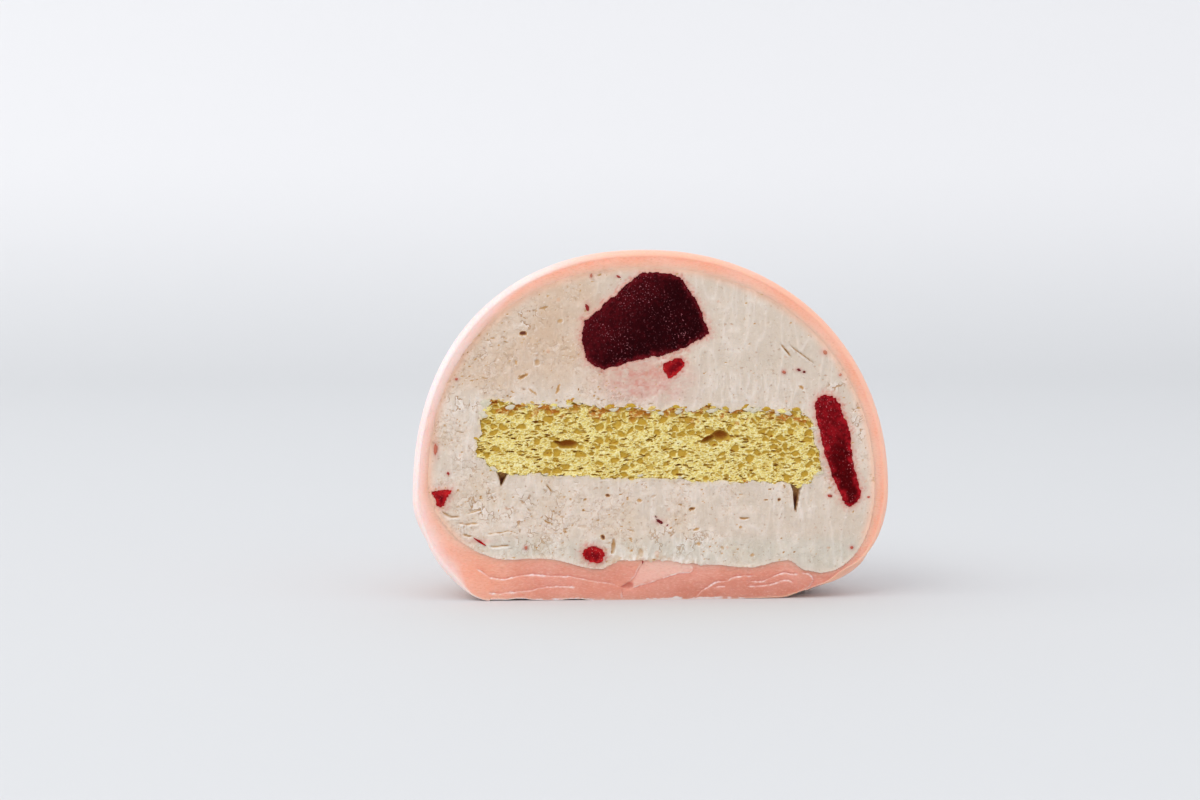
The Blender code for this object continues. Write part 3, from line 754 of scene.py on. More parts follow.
def close_ends(numbers):
    """Lets all of a grid's first row of point numbers share one point, and all of its last row another."""
    numbers[0] = numbers[0, 0]
    numbers[-1] = numbers[-1, 0]


def add_cut(build, outer, inner):
    """Adds the points of the skin's cut between its outer and inner lines, as rows from the outer one."""
    flat = outer + (inner - outer) * (np.arange(1, RING_LINES) / RING_LINES)[:, None, None]
    x, z = flat[..., 0], flat[..., 1]
    from_edge = np.linalg.norm(flat - outer, axis=-1)
    from_cream = np.linalg.norm(flat - inner, axis=-1)
    depth, starch, shade = fold_relief(x, z)
    meeting = near_outline(x, z, curve(MEETING_HOLLOW, LINE_STEPS, closed=True)).distance
    hollow_share = ease(-0.00005, 0.00025, meeting)
    depth += MEETING_DEPTH * hollow_share
    pale = near_outline(x, z, curve(PALE_PIECE, LINE_STEPS, closed=True)).distance
    depth += 0.00004 * (1 + long_grain(x, z, 0.0007, 0.0005, 5)) + 0.00002 * (1 + grain(x, z, 0.0002, 6))
    depth *= ease(0, 0.0003, from_edge) * ease(0, 0.00012, from_cream)
    rim_width = RIM_WIDTH + (RIM_WIDTH_LEFT - RIM_WIDTH) * ease(-0.014, -0.029, outer[:, 0])
    edge = 0.00012 + (rim_width - 0.00012) * ease(0.0006, 0.0035, outer[:, 1])
    lit = lit_share(x)
    wall_share = np.maximum(ease(0.0035, 0.0080, z), 0.8 * ease(-0.0130, -0.0240, x))
    return build.add(
        np.stack([x, depth, z], -1),
        cut=ease(-0.2, 1, from_edge / edge + 0.15 * grain(x, z, 0.0030, 9)),
        starch=np.clip(np.maximum(starch, foot_starch(x, z)), 0, 1),
        shade=np.clip(shade + hollow_share, 0, 1),
        pale=ease(-0.0002, 0.0003, pale),
        base=1 - wall_share,
        # painted shade: darker towards the bottom, near the table, most on the right
        low=ease(0.0036, 0.0008, z) * (0.05 + 0.95 * ease(-0.0045, 0.0045, x)),
        # pale dust on the lit left, partly a painted highlight
        dust=0.9 * lit,
        peach=1 - lit,
        creamy=np.exp(-from_cream / 0.0004) * (0.25 + 0.75 * ease(0.0055, 0.0080, z)),
    )


def foot_starch(x, z):
    """The crust of starch along the bottom of the cut, here thick and there worn off."""
    level = 0.00018 + 0.00022 * np.maximum(long_grain(x, 0 * z, 0.0016, 1.0, 33), 0)
    level += 0.00006 * long_grain(x, z, 0.0002, 1.0, 34)
    kept = long_grain(x, 0 * z, 0.0022, 1.0, 31) + 0.5 * long_grain(x, 0 * z, 0.0005, 1.0, 32)
    return 0.9 * ease(-0.35, 0.25, kept) * ease(1.15, 0.7, z / level) * (np.abs(x) < FOOT_STARCH_REACH)


def finer(line):
    """A line of points with one more halfway between each two."""
    fine = np.repeat(line, 2, axis=0)[:-1]
    fine[1::2] = (line[:-1] + line[1:]) / 2
    return fine


def plate(build, outline, holes, spacing, relief):
    """The front of a cut piece: a fine grid inside an outline and outside its holes, its edge on those.
    relief(x, z, inside, from_outline) gives each point's depth and its values, from how far in it lies from
    any edge and from the outline. Returns the grid of point numbers, the cells that are kept, the flat
    places, and which of them lie on the outline."""
    low, high = outline.min(0) - spacing, outline.max(0) + spacing
    x, z = np.meshgrid(
        np.arange(low[0], high[0] + spacing, spacing),
        np.arange(low[1], high[1] + spacing, spacing),
    )
    near = near_outline(x, z, outline, EDGE_WIDTH)
    inside, edge_x, edge_z = near.distance, near.x, near.z
    from_outline = np.maximum(inside, 0)
    on_outline = np.abs(inside) <= spacing / 2
    for hole in holes:
        near = near_outline(x, z, hole, EDGE_WIDTH)
        closer = -near.distance < inside
        inside = np.where(closer, -near.distance, inside)
        edge_x, edge_z = np.where(closer, near.x, edge_x), np.where(closer, near.z, edge_z)
    snapped = np.abs(inside) <= spacing / 2
    x, z = np.where(snapped, edge_x, x), np.where(snapped, edge_z, z)
    good = inside >= -spacing / 2
    cells = good[:-1, :-1] & good[:-1, 1:] & good[1:, 1:] & good[1:, :-1]
    depth, values = relief(x, z, np.maximum(inside, 0), from_outline)
    numbers = build.add(np.stack([x, depth, z], -1), **values)
    build.sheet(numbers, cells)
    return numbers, cells, np.stack([x, z], -1), on_outline


def border(cells):
    """The edges round a grid's kept cells, as pairs of grid places, each with the cell on its left."""
    padded = np.pad(cells, 1)
    edges = []
    for row_step, column_step, start, end in (
        (-1, 0, (0, 0), (0, 1)),
        (1, 0, (1, 1), (1, 0)),
        (0, -1, (1, 0), (0, 0)),
        (0, 1, (0, 1), (1, 1)),
    ):
        beside = padded[1 + row_step : padded.shape[0] - 1 + row_step]
        beside = beside[:, 1 + column_step : padded.shape[1] - 1 + column_step]
        rows, columns = np.nonzero(cells & ~beside)
        starts = np.stack([rows + start[0], columns + start[1]], -1)
        ends = np.stack([rows + end[0], columns + end[1]], -1)
        edges.append(np.stack([starts, ends], 1))
    return np.concatenate(edges)


def skirt(build, numbers, cells, places, rings, chosen=None, **values):
    """Carries a plate's border back through rings, which are functions of its flat places that give points.
    With chosen, a mask of grid places, only the border that starts there is carried back."""
    edges = border(cells)
    if chosen is not None:
        edges = edges[chosen[tuple(edges[:, 0].T)]]
    on_border = np.unique(edges.reshape(-1, 2), axis=0)
    flat = places[tuple(on_border.T)]
    index = np.full(numbers.shape, -1)
    index[tuple(on_border.T)] = np.arange(len(on_border))
    first = index[tuple(edges[:, 0].T)]
    second = index[tuple(edges[:, 1].T)]
    previous = numbers[tuple(on_border.T)]
    for ring in rings:
        current = build.add(ring(flat), **values)
        faces = np.stack([previous[second], previous[first], current[first], current[second]], -1)
        build.faces.extend(faces.tolist())
        previous = current
    return previous, first, second


def dome_rings(centre, depth):
    """Rings that shrink towards a tip behind the centre."""

    def ring(flat, turn):
        return np.insert(centre + (flat - centre) * math.cos(turn), 1, depth * math.sin(turn), axis=1)

    turns = [math.pi / 2 * k / BACK_RINGS for k in range(1, BACK_RINGS)]
    return [lambda flat, turn=turn: ring(flat, turn) for turn in turns]


def wall_ring(flat):
    """A ring straight behind the edge."""
    return np.insert(flat, 1, WALL_DEPTH, axis=1)


def close_tip(build, loop, first, second, tip, **values):
    """Closes the last ring of a skirt with triangles to one point."""
    number = int(build.add(np.array([tip]), **values)[0])
    build.faces.extend([[int(loop[b]), int(loop[a]), number] for a, b in zip(first, second)])


def grown(line, amount):
    """A closed anticlockwise line moved outwards."""
    along = np.roll(line, -1, axis=0) - np.roll(line, 1, axis=0)
    out = np.stack([along[:, 1], -along[:, 0]], -1)
    out /= np.linalg.norm(out, axis=1, keepdims=True)
    return line + out * amount[:, None]


def berry_line(berry, grow=0.0):
    """A berry's outline as a fine, ragged closed line, moved out by grow."""
    line = curve(berry.outline, BERRY_LINE_STEPS, closed=True)
    ragged = 0.00013 * grain_on(line, 0.0007, 47) + 0.00012 * grain_on(line, 0.00020, 48)
    return grown(line, grow + ragged)


def make_berry(number, berry):
    """A frosted piece of berry, cut flat at its front."""
    line = berry_line(berry)
    centre = line.mean(0)

    def relief(x, z, inside, from_outline):
        depth = 0.00005 * (1 + grain(x, z, 0.0012, 50 + number))
        depth += 0.00006 * (1 + grain(x, z, 0.00030, 60 + number))
        uneven = 0.00035 * grain(x, z, 0.0007, 65 + number) + 0.00015 * grain(x, z, 0.0002, 66)
        edge = 1 - ease(-0.0001, 0.0008, inside + uneven)
        slant = ((x - centre[0]) - 0.8 * (z - centre[1])) / np.ptp(line[:, 0]) * 2
        edge += 0.5 * (1 - edge) * ease(0.3, -0.8, slant)
        return depth * ease(0, 0.0002, inside), {"edge": edge}

    build = Build(*BERRY_VALUES)
    numbers, cells, places, _ = plate(build, line, [], berry.spacing, relief)
    rings = dome_rings(centre, berry.depth)
    loop, first, second = skirt(build, numbers, cells, places, rings, edge=1.0)
    close_tip(build, loop, first, second, (centre[0], berry.depth, centre[1]), edge=1.0)
    build.finish(berry.node + "_frosted", berry.node, berry_material(berry.slot))


def sponge_line():
    """The sponge's outline on the cut, from its left end along the bottom, with a torn edge."""
    across = np.linspace(-1, 1, SPONGE_LINE_STEPS)
    bottom = sponge_edge(across, np.full(across.shape, -1.0))
    top = sponge_edge(across[::-1], np.full(across.shape, 1.0))
    up = np.linspace(-1, 1, SPONGE_END_STEPS)[1:-1]
    right = sponge_edge(np.full(up.shape, 1.0), up)
    left = sponge_edge(np.full(up.shape, -1.0), up[::-1])
    line = np.concatenate([bottom, right, top, left])
    torn = 0.00050 * grain_on(line, 0.0013, 71) + 0.00030 * grain_on(line, 0.0004, 72)
    torn *= 0.6 + 0.5 * ease(-0.003, 0.003, line[:, 1] - SPONGE_MIDDLE_HEIGHT)
    out = line - (SPONGE_X, SPONGE_MIDDLE_HEIGHT)
    return line + torn[:, None] * np.sign(out)


def sponge_edge(across, up):
    """Points of the sponge's section: across runs from -1 to 1 between its ends, up from -1 to 1."""
    inset = np.where(across < 0, height_on(SPONGE_LEFT_END, up), height_on(SPONGE_RIGHT_END, up))
    reach = (SPONGE_RADIUS - inset) * across
    z = SPONGE_MIDDLE_HEIGHT + SPONGE_SLOPE * reach + SPONGE_HALF_THICKNESS * up
    return np.stack([SPONGE_X + reach, z], -1)


class Pores:
    """Scattered bowls in a grid: how deep each point lies, how dark its painted shade is, and how near a
    rim, where a highlight is painted.
    """

    def __init__(self, x, z):
        self.x, self.z = x, z
        self.axes = (x.mean(0), z.mean(1))
        self.depth = np.zeros(x.shape)
        self.dark = np.zeros(x.shape)
        self.rim = np.zeros(x.shape)

    def bowl(self, place, wide, high, tilt, deep, dark):
        """One bowl, with painted shade darkest in its upper part and a painted highlight at its lower lip;
        where bowls meet, the deeper one counts.
        """
        reach = 1.4 * max(wide, high)
        part = window(self.axes, place - reach, place + reach)
        dx, dz = self.x[part] - place[0], self.z[part] - place[1]
        u = (dx * math.cos(tilt) + dz * math.sin(tilt)) / wide
        v = (dz * math.cos(tilt) - dx * math.sin(tilt)) / high
        away = np.hypot(u, v)
        shape = np.sqrt(np.clip(1 - away * away, 0, 1))
        deeper = deep * shape > self.depth[part]
        self.depth[part][deeper] = (deep * shape)[deeper]
        # painted shade, darker in the bowl's upper part as if under an overhang
        self.dark[part][deeper] = (dark * shape**0.5 * (0.72 + 0.28 * ease(-0.7, 0.4, v)))[deeper]
        lip = np.exp(-(((away - 1.12) / 0.14) ** 2)) * (0.3 + 0.7 * ease(0.4, -0.8, v))
        self.rim[part] = np.maximum(self.rim[part], lip)
        self.rim[part][deeper] = 0

    def scatter(self, seed, count, radii, flat, darks, share=None):
        """Many bowls with radii from small to large, mostly small; flat is their height over their width,
        darks how dark their painted shade is, and share, a function of a place, how likely a bowl is there."""
        rng = np.random.default_rng(seed)
        low = np.array([axis[0] for axis in self.axes])
        high = np.array([axis[-1] for axis in self.axes])
        for place, draw in zip(rng.uniform(low, high, (count, 2)), rng.random((count, 5))):
            if share is not None and draw[4] > share(*place):
                continue
            radius = radii[0] + (radii[1] - radii[0]) * draw[0] ** 3
            dark = darks[0] + (darks[1] - darks[0]) * draw[1] ** 2
            wide = radius * (0.9 + 0.6 * draw[2])
            self.bowl(place, wide, radius * flat, 0.5 * (draw[3] - 0.5), radius * (0.5 + dark), dark)


def sponge_relief(x, z, inside, from_outline):
    """The sponge's open crumb: its cells and pores with painted shade in them, its thin bright walls with
    painted highlights at the pores' lower lips, and its browner top.
    """
    rough_x = x + 0.00006 * grain(x, z, 0.00025, 81) + 0.00014 * grain(x, z, 0.0007, 89)
    rough_z = z + 0.00005 * grain(x, z, 0.00025, 82) + 0.00009 * grain(x, z, 0.0007, 90)
    height = height_in_sponge(x, z)
    small_gap, small_kind = foam_cells(rough_x, rough_z, 0.00062, 0.00034, 92)
    large_gap, large_kind = foam_cells(rough_x, rough_z, 0.00110, 0.00085, 93)
    small = ease(0.05, 0.35, small_gap) * (0.25 + 0.75 * small_kind)
    chance = large_kind + 0.26 * ease(-0.8, 0.8, height) - 0.12
    large = ease(0.10, 0.34, large_gap) * ease(0.60, 0.66, chance)
    crumb = Pores(rough_x, rough_z)
    for pores in SPONGE_PORES:
        crumb.scatter(*pores)
    for bubble_x, bubble_z, half_width, half_height, turn in SPONGE_BUBBLES:
        middle = np.array([bubble_x, bubble_z])
        crumb.bowl(middle, half_width, half_height, math.radians(turn), BUBBLE_DEPTH, BUBBLE_DARK)
    depth = np.maximum(crumb.depth, np.maximum(0.00030 * large, 0.00014 * small))
    depth += 0.00004 * (1 + grain(x, z, 0.0002, 85))
    depth += 0.00010 * (1 + grain(x, z, 0.002, 86)) * ease(0, 0.0006, inside)
    walls = (1 - ease(0.03, 0.20, small_gap)) * (1 - large)
    top = ease(0.58, 0.85, height + 0.20 * long_grain(x, z, 0.0014, 0.0010, 87))
    return depth, {
        # painted shade in pores, cells and bubbles
        "pore": np.maximum(crumb.dark, np.maximum((0.24 + 0.14 * large_kind) * large, 0.20 * small)),
        # pale cell walls, with a painted highlight at the pores' lower lips
        "wall": np.maximum(0.8 * crumb.rim, walls),
        "crust": top * ease(-0.2, 0.2, long_grain(x, z, 0.0009, 0.0006, 91)),
    }


def height_in_sponge(x, z):
    """How high a place lies in the sponge, from -1 at its bottom to 1 at its top."""
    return (z - SPONGE_MIDDLE_HEIGHT - SPONGE_SLOPE * (x - SPONGE_X)) / SPONGE_HALF_THICKNESS


def make_sponge():
    """The half disc of sponge, with its open crumb on the cut."""
    build = Build(*SPONGE_VALUES)
    numbers, cells, places, _ = plate(build, sponge_line(), [], SPONGE_SPACING, sponge_relief)

    def back_ring(flat):
        reach = np.clip((flat[:, 0] - SPONGE_X) / SPONGE_RADIUS, -1, 1)
        back = np.maximum(SPONGE_RADIUS * np.sqrt(1 - reach**2), SPONGE_END_DEPTH)
        return np.stack([flat[:, 0], back, flat[:, 1]], -1)

    loop, first, second = skirt(build, numbers, cells, places, [wall_ring, back_ring])
    close_tip(build, loop, first, second, (SPONGE_X, SPONGE_RADIUS, SPONGE_MIDDLE_HEIGHT))
    build.finish("sponge_crumb", "sponge_layer", sponge_material())


def cream_relief(x, z, inside, from_outline):
    """The cream's streaked, lightly torn surface, its pits, curls and cracks with painted shade in them and
    painted highlights on their lips and streaks, and what stains its edges.
    """
    torn = torn_share(x, z)
    warm = ease(-0.0035, -0.0090, x) * ease(0.0255, 0.0300, z)
    drift = 0.0006 * long_grain(x, z, 0.002, 0.004, 108)
    rippled = ease(-0.4, 0.5, long_grain(x, z, 0.006, 0.004, 115))
    streak = (1 - np.abs(long_grain(x + drift, z, 0.00042, 0.0022, 102))) * rippled
    drape = 1 - np.abs(long_grain(x + drift, z, 0.0016, 0.0060, 121))
    depth = 0.00012 * (1 + long_grain(x, z, 0.004, 0.005, 101))
    depth += 0.00007 * (1 - streak**3)
    depth += 0.00012 * (1 - drape**2)
    depth += 0.00004 * (1 + long_grain(x, z, 0.00035, 0.0005, 103))
    depth += 0.00006 * torn * (1 + long_grain(x, z, 0.0004, 0.0005, 106))
    pits = cream_pits(x, z)
    curl = curl_share(x, z)
    # Painted shade in the pits, darkest in their upper parts, and painted highlights on their lower lips
    pit = 0.9 * pits.dark
    lip = 0.9 * pits.rim
    curled = 0.00006 * curl * grain(x, z, 0.0004, 124)
    depth += 0.5 * pits.depth - 0.00004 * lip + curled - CREAM_RELIEF
    add_cracks(x, z, depth, pit, lip)
    tear = ease(0.0014, 0.0002, from_outline) * torn_border(x, z)
    flakes = long_grain(x, z, 0.00040, 0.0007, 122) + 0.5 * long_grain(x, z, 0.0002, 0.0003, 128)
    # Torn flakes at the lower border get painted highlights, with painted shade between them
    lip = np.maximum(lip, tear * ease(-0.1, 0.4, flakes))
    pit = np.maximum(pit, 0.2 * tear * ease(-0.2, -0.7, flakes))
    depth *= 0.1 + 0.9 * ease(0, 0.0005, inside)
    depth -= 0.00005 * (1 - ease(0.0001, 0.0003, from_outline)) * (1 + 0.6 * tear * flakes)
    add_gaps(x, z, depth, pit)
    wall = ease(0.0062, 0.0088, z)
    border_width = 0.0003 + 0.0003 * wall
    by_sponge = near_outline(x, z, sponge_line(), 0.0006).distance
    return depth, {
        "pit": pit,
        "lip": np.clip(lip, 0, 1),
        "stain": berry_stain(x, z),
        "torn": torn,
        "curl": curl,
        "warm": warm,
        # the drag streaks, with a painted highlight on their ridges
        "streak": np.maximum(streak**6, 0.7 * drape**8),
        "border": (0.2 + 0.8 * wall) * np.exp(-np.maximum(from_outline - 0.00015, 0) / border_width),
        "crumby": np.exp(-np.abs(by_sponge) / 0.00020) * ease(-0.6, 0.4, grain(x, z, 0.0003, 123)),
    }


def add_cracks(x, z, depth, pit, lip):
    """Adds the cream's cracks to its depth and painted shade, and their lower lips to its painted
    highlights.
    """
    for crack in CRACKS:
        near = near_line(x, z, curve(crack.points, LINE_STEPS), 6 * crack.width)
        fade = ease(0, 0.25, near.along) * (1 - ease(0.75, 1, near.along))
        width = crack.width * (0.4 + 0.6 * fade) * (1 + 0.4 * grain(x, z, 0.0004, 110))
        profile = np.exp(-((near.distance / width) ** 2))
        depth += 0.4 * crack.depth * profile * (0.3 + 0.7 * fade)
        # The lower lip of a crack stands forward and gets a painted highlight
        below = np.exp(-(((near.distance * near.side + 2.2 * width) / (1.3 * width)) ** 2)) * fade
        depth -= 0.00008 * below
        np.maximum(lip, below, out=lip)
        np.maximum(pit, 0.62 * crack.dark * profile * fade, out=pit)


def add_gaps(x, z, depth, pit):
    """Adds the gaps under the ends of the sponge to the cream's depth and painted shade, paler at their
    tops.
    """
    for gap in CREAM_GAPS:
        gap = np.array(gap)
        share = ease(-0.00004, 0.00012, near_outline(x, z, gap, 0.0003).distance)
        depth += CREAM_GAP_DEPTH * share
        height = (z - gap[:, 1].min()) / np.ptp(gap[:, 1])
        np.maximum(pit, share * (0.85 - 0.40 * ease(0.35, 0.75, height)), out=pit)


def cream_pits(x, z):
    """The cream's many small pits and its single holes."""

    def often(pit_x, pit_z):
        return 0.12 + 0.88 * torn_share(pit_x, pit_z)

    rough_x = x + 0.00008 * grain(x, z, 0.0003, 109)
    rough_z = z + 0.00012 * grain(x, z, 0.0007, 112)
    pits = Pores(rough_x, rough_z)
    pits.scatter(*SMALL_PITS, often)
    pits.scatter(*WIDE_PITS, torn_share)
    for middle_x, middle_z, half_width, half_height, turn, dark in CREAM_HOLES:
        place = np.array([middle_x, middle_z])
        pits.bowl(place, 1.1 * half_width, 1.25 * half_height, math.radians(turn), half_height, dark / 0.9)
    return pits


def curl_share(x, z):
    """How much the cream is torn into small curls."""
    share = 0.25 * torn_share(x, z)
    for middle_x, middle_z, half_width, half_height, strength in CREAM_CURLS:
        away = np.hypot((x - middle_x) / half_width, (z - middle_z) / half_height)
        share = np.maximum(share, strength * ease(1.7, 0.1, away))
    return share * ease(-0.6, 0.2, grain(x, z, 0.0011, 130))


def torn_border(x, z):
    """1 along the stretch of the cream's lower border where it is torn into flakes."""
    return ease(0.0078, 0.0062, z) * ease(-0.0062, -0.0050, x) * ease(0.0075, 0.0060, x)


def torn_share(x, z):
    """How torn the cream is, from 0 to 1: most at the left and below, least in the upper right."""
    calm = ease(0.000, 0.006, x) * ease(0.0230, 0.0290, z)
    torn = long_grain(x, z, 0.0034, 0.0036, 104) + 0.6 * long_grain(x, z, 0.0011, 0.0013, 105)
    return ease(-0.3, 0.9, torn + 0.35 * ease(0.004, -0.020, x) + 0.2 * ease(0.018, 0.012, z) - 0.9 * calm)


def berry_stain(x, z):
    """How much berry juice the cream holds: round each berry and speck, and below the large berry."""
    stain = np.zeros(x.shape)
    bits = ease(0.15, 0.55, grain(x, z, 0.00022, 127))
    for berry in BERRIES:
        away = np.maximum(-near_outline(x, z, berry_line(berry), 0.004).distance, 0)
        fringe = np.exp(-away / 0.00030) + 0.9 * bits * np.exp(-((away / 0.0007) ** 2))
        stain = np.maximum(stain, fringe)
    for speck_x, speck_z, half_width, half_height, *_ in SPECKS:
        away = np.hypot((x - speck_x) / half_width, (z - speck_z) / half_height)
        stain = np.maximum(stain, 0.7 * np.exp(-((away / 1.7) ** 2)))
    under = np.exp(-np.abs((x - STAIN[0]) / STAIN[2]) ** 3 - np.abs((z - STAIN[1]) / STAIN[3]) ** 3)
    mottle = 0.30 * long_grain(x, z, 0.0009, 0.0006, 111) + 0.35 * long_grain(x, z, 0.0003, 0.00018, 117)
    return np.clip(np.maximum(stain, under * (0.72 + mottle)), 0, 1)


def make_cream():
    """The cream, open where the sponge and the berries lie in it; its edge is smeared over the skin's."""
    build = Build(*CREAM_VALUES)
    line = rim(hollow_surface())[:-1, (0, 2)]
    smear = 0.00009 + 0.00006 * grain_on(line, 0.0007, 118)
    tufts = grain_on(line, 0.0006, 119) + 0.5 * grain_on(line, 0.0002, 129)
    smear += 0.00028 * torn_border(line[:, 0], line[:, 1]) * np.maximum(tufts, -0.3)
    outline = grown(line, smear)
    holes = [sponge_line(), *[berry_line(berry, -BERRY_OVERLAP) for berry in BERRIES]]
    numbers, cells, places, on_outline = plate(build, outline, holes, CREAM_SPACING, cream_relief)
    centre = np.array([TOP_X, SPONGE_MIDDLE_HEIGHT])
    depth = DEPTH_RATIO * CAVITY_LEFT.half_width
    loop, first, second = skirt(build, numbers, cells, places, dome_rings(centre, depth), on_outline)
    close_tip(build, loop, first, second, (centre[0], depth, centre[1]))
    # The walls of the holes get some painted shade
    skirt(build, numbers, cells, places, [wall_ring], ~on_outline, pit=0.3)
    build.finish("cream", "cream_filling", cream_material())


# Specks of berry in the cream: middle, half width, half height, turn in degrees, how pale and how dim
SPECKS = (
    (-0.0281, 0.0198, 0.00026, 0.00078, 5, 0.6, 0.0),
    (-0.0265, 0.0166, 0.00018, 0.00020, 0, 0.2, 0.4),
    (-0.0225, 0.0078, 0.00085, 0.00016, 33, 0.0, 0.0),
    (-0.0254, 0.0288, 0.00020, 0.00016, 0, 0.5, 0.0),
    (-0.0080, 0.0421, 0.00014, 0.00025, 10, 0.8, 0.1),
    (-0.0045, 0.0420, 0.00030, 0.00012, 30, 0.2, 0.4),
    (-0.0165, 0.0069, 0.00020, 0.00022, 0, 0.7, 0.0),
    (0.0261, 0.0066, 0.00022, 0.00020, -30, 0.4, 0.1),
    (0.0283, 0.0132, 0.00020, 0.00014, 0, 0.4, 0.1),
    (-0.0085, 0.0380, 0.00026, 0.00050, -30, 0.1, 0.5),
    (0.0171, 0.0296, 0.00022, 0.00024, 0, 0.6, 0.1),
    (0.0190, 0.0299, 0.00030, 0.00016, 20, 0.1, 0.8),
    (0.0197, 0.0296, 0.00018, 0.00012, -15, 0.1, 0.8),
    (0.0224, 0.0322, 0.00034, 0.00030, 30, 0.8, 0.0),
    (0.0232, 0.0134, 0.00034, 0.00018, 10, 0.3, 0.2),
    (0.0245, 0.0292, 0.00020, 0.00018, 0, 0.9, 0.0),
    (0.0009, 0.0102, 0.00042, 0.00022, 35, 0.0, 0.9),
    (0.0004, 0.0108, 0.00022, 0.00006, 60, 0.0, 0.9),
    (0.0019, 0.0097, 0.00016, 0.00008, -40, 0.1, 0.7),
    (-0.0013, 0.0050, 0.00007, 0.00030, 0, 0.0, 0.3),
)
SPECK_DEPTH = 0.00006
SPECK_HALF_THICKNESS = 0.00010

# Bits along the sponge's edge: their piece and its slot, how many, how far out and their largest size
SEAM_BITS = (
    ("cream_bits", "cream_filling", 48, -0.00020, (0.00075, 0.00034)),
    ("sponge_crumbs", "sponge_layer", 80, 0.00014, (0.00060, 0.00028)),
)
BIT_HALF_THICKNESS = 0.00007


def add_bit(build, place, radii, turn, seed, **values):
    """Adds one small uneven lump, turned about the way the cut looks."""
    bm = bmesh.new()
    bmesh.ops.create_icosphere(bm, subdivisions=2, radius=1.0)
    points = np.array([vertex.co[:] for vertex in bm.verts])
    faces = [[vertex.index for vertex in face.verts] for face in bm.faces]
    bm.free()
    points *= (1 + 0.45 * grain(points[:, 0] + 0.3 * points[:, 1], points[:, 2], 0.6, seed))[:, None]
    points *= radii
    cos, sin = math.cos(turn), math.sin(turn)
    x, z = points[:, 0] * cos + points[:, 2] * sin, points[:, 2] * cos - points[:, 0] * sin
    numbers = build.add(np.stack([x, points[:, 1], z], -1) + place, **values)
    build.faces.extend(numbers[np.array(faces)].tolist())


def make_specks():
    """Small bits of berry that lie in the cut of the cream."""
    build = Build(*BERRY_VALUES)
    for number, (x, z, half_width, half_height, turn, pale, dim) in enumerate(SPECKS):
        place, radii = (x, SPECK_DEPTH, z), (half_width, SPECK_HALF_THICKNESS, half_height)
        add_bit(build, place, radii, math.radians(turn), 120 + number, edge=1.0, pale=pale, dim=dim)
    build.finish("berry_specks", None, berry_material("berry_chip"))


def make_seam_bits():
    """Bits of cream over the sponge's torn edges, and crumbs of sponge in the cream beside them."""
    rng = np.random.default_rng(130)
    line = sponge_line()
    materials = {"cream_filling": cream_material(), "sponge_layer": sponge_material()}
    for name, slot, count, out, sizes in SEAM_BITS:
        build = Build(*CREAM_VALUES, *SPONGE_VALUES)
        for number in range(count):
            x, z = line[rng.integers(len(line))]
            if z < SPONGE_MIDDLE_HEIGHT and rng.random() < 0.7:
                continue
            wide, high = np.array(sizes) * rng.uniform(0.25, 1.0)
            side = np.sign(z - SPONGE_MIDDLE_HEIGHT)
            place = (x, rng.uniform(0.00002, 0.00009), z + side * out * rng.uniform(0.2, 2.0))
            values = {
                # the crumbs take a random tone of the pores' colour
                "pore": rng.uniform(0.0, 0.5),
                "crust": rng.uniform(-0.8, 1.0),
                # some painted highlight on the cream bits
                "lip": rng.uniform(0.0, 0.3),
                "crumby": 0.4,
            }
            radii = (wide, BIT_HALF_THICKNESS, high)
            add_bit(build, place, radii, rng.uniform(-0.5, 0.5), 200 + number, **values)
        build.finish(name, None, materials[slot])


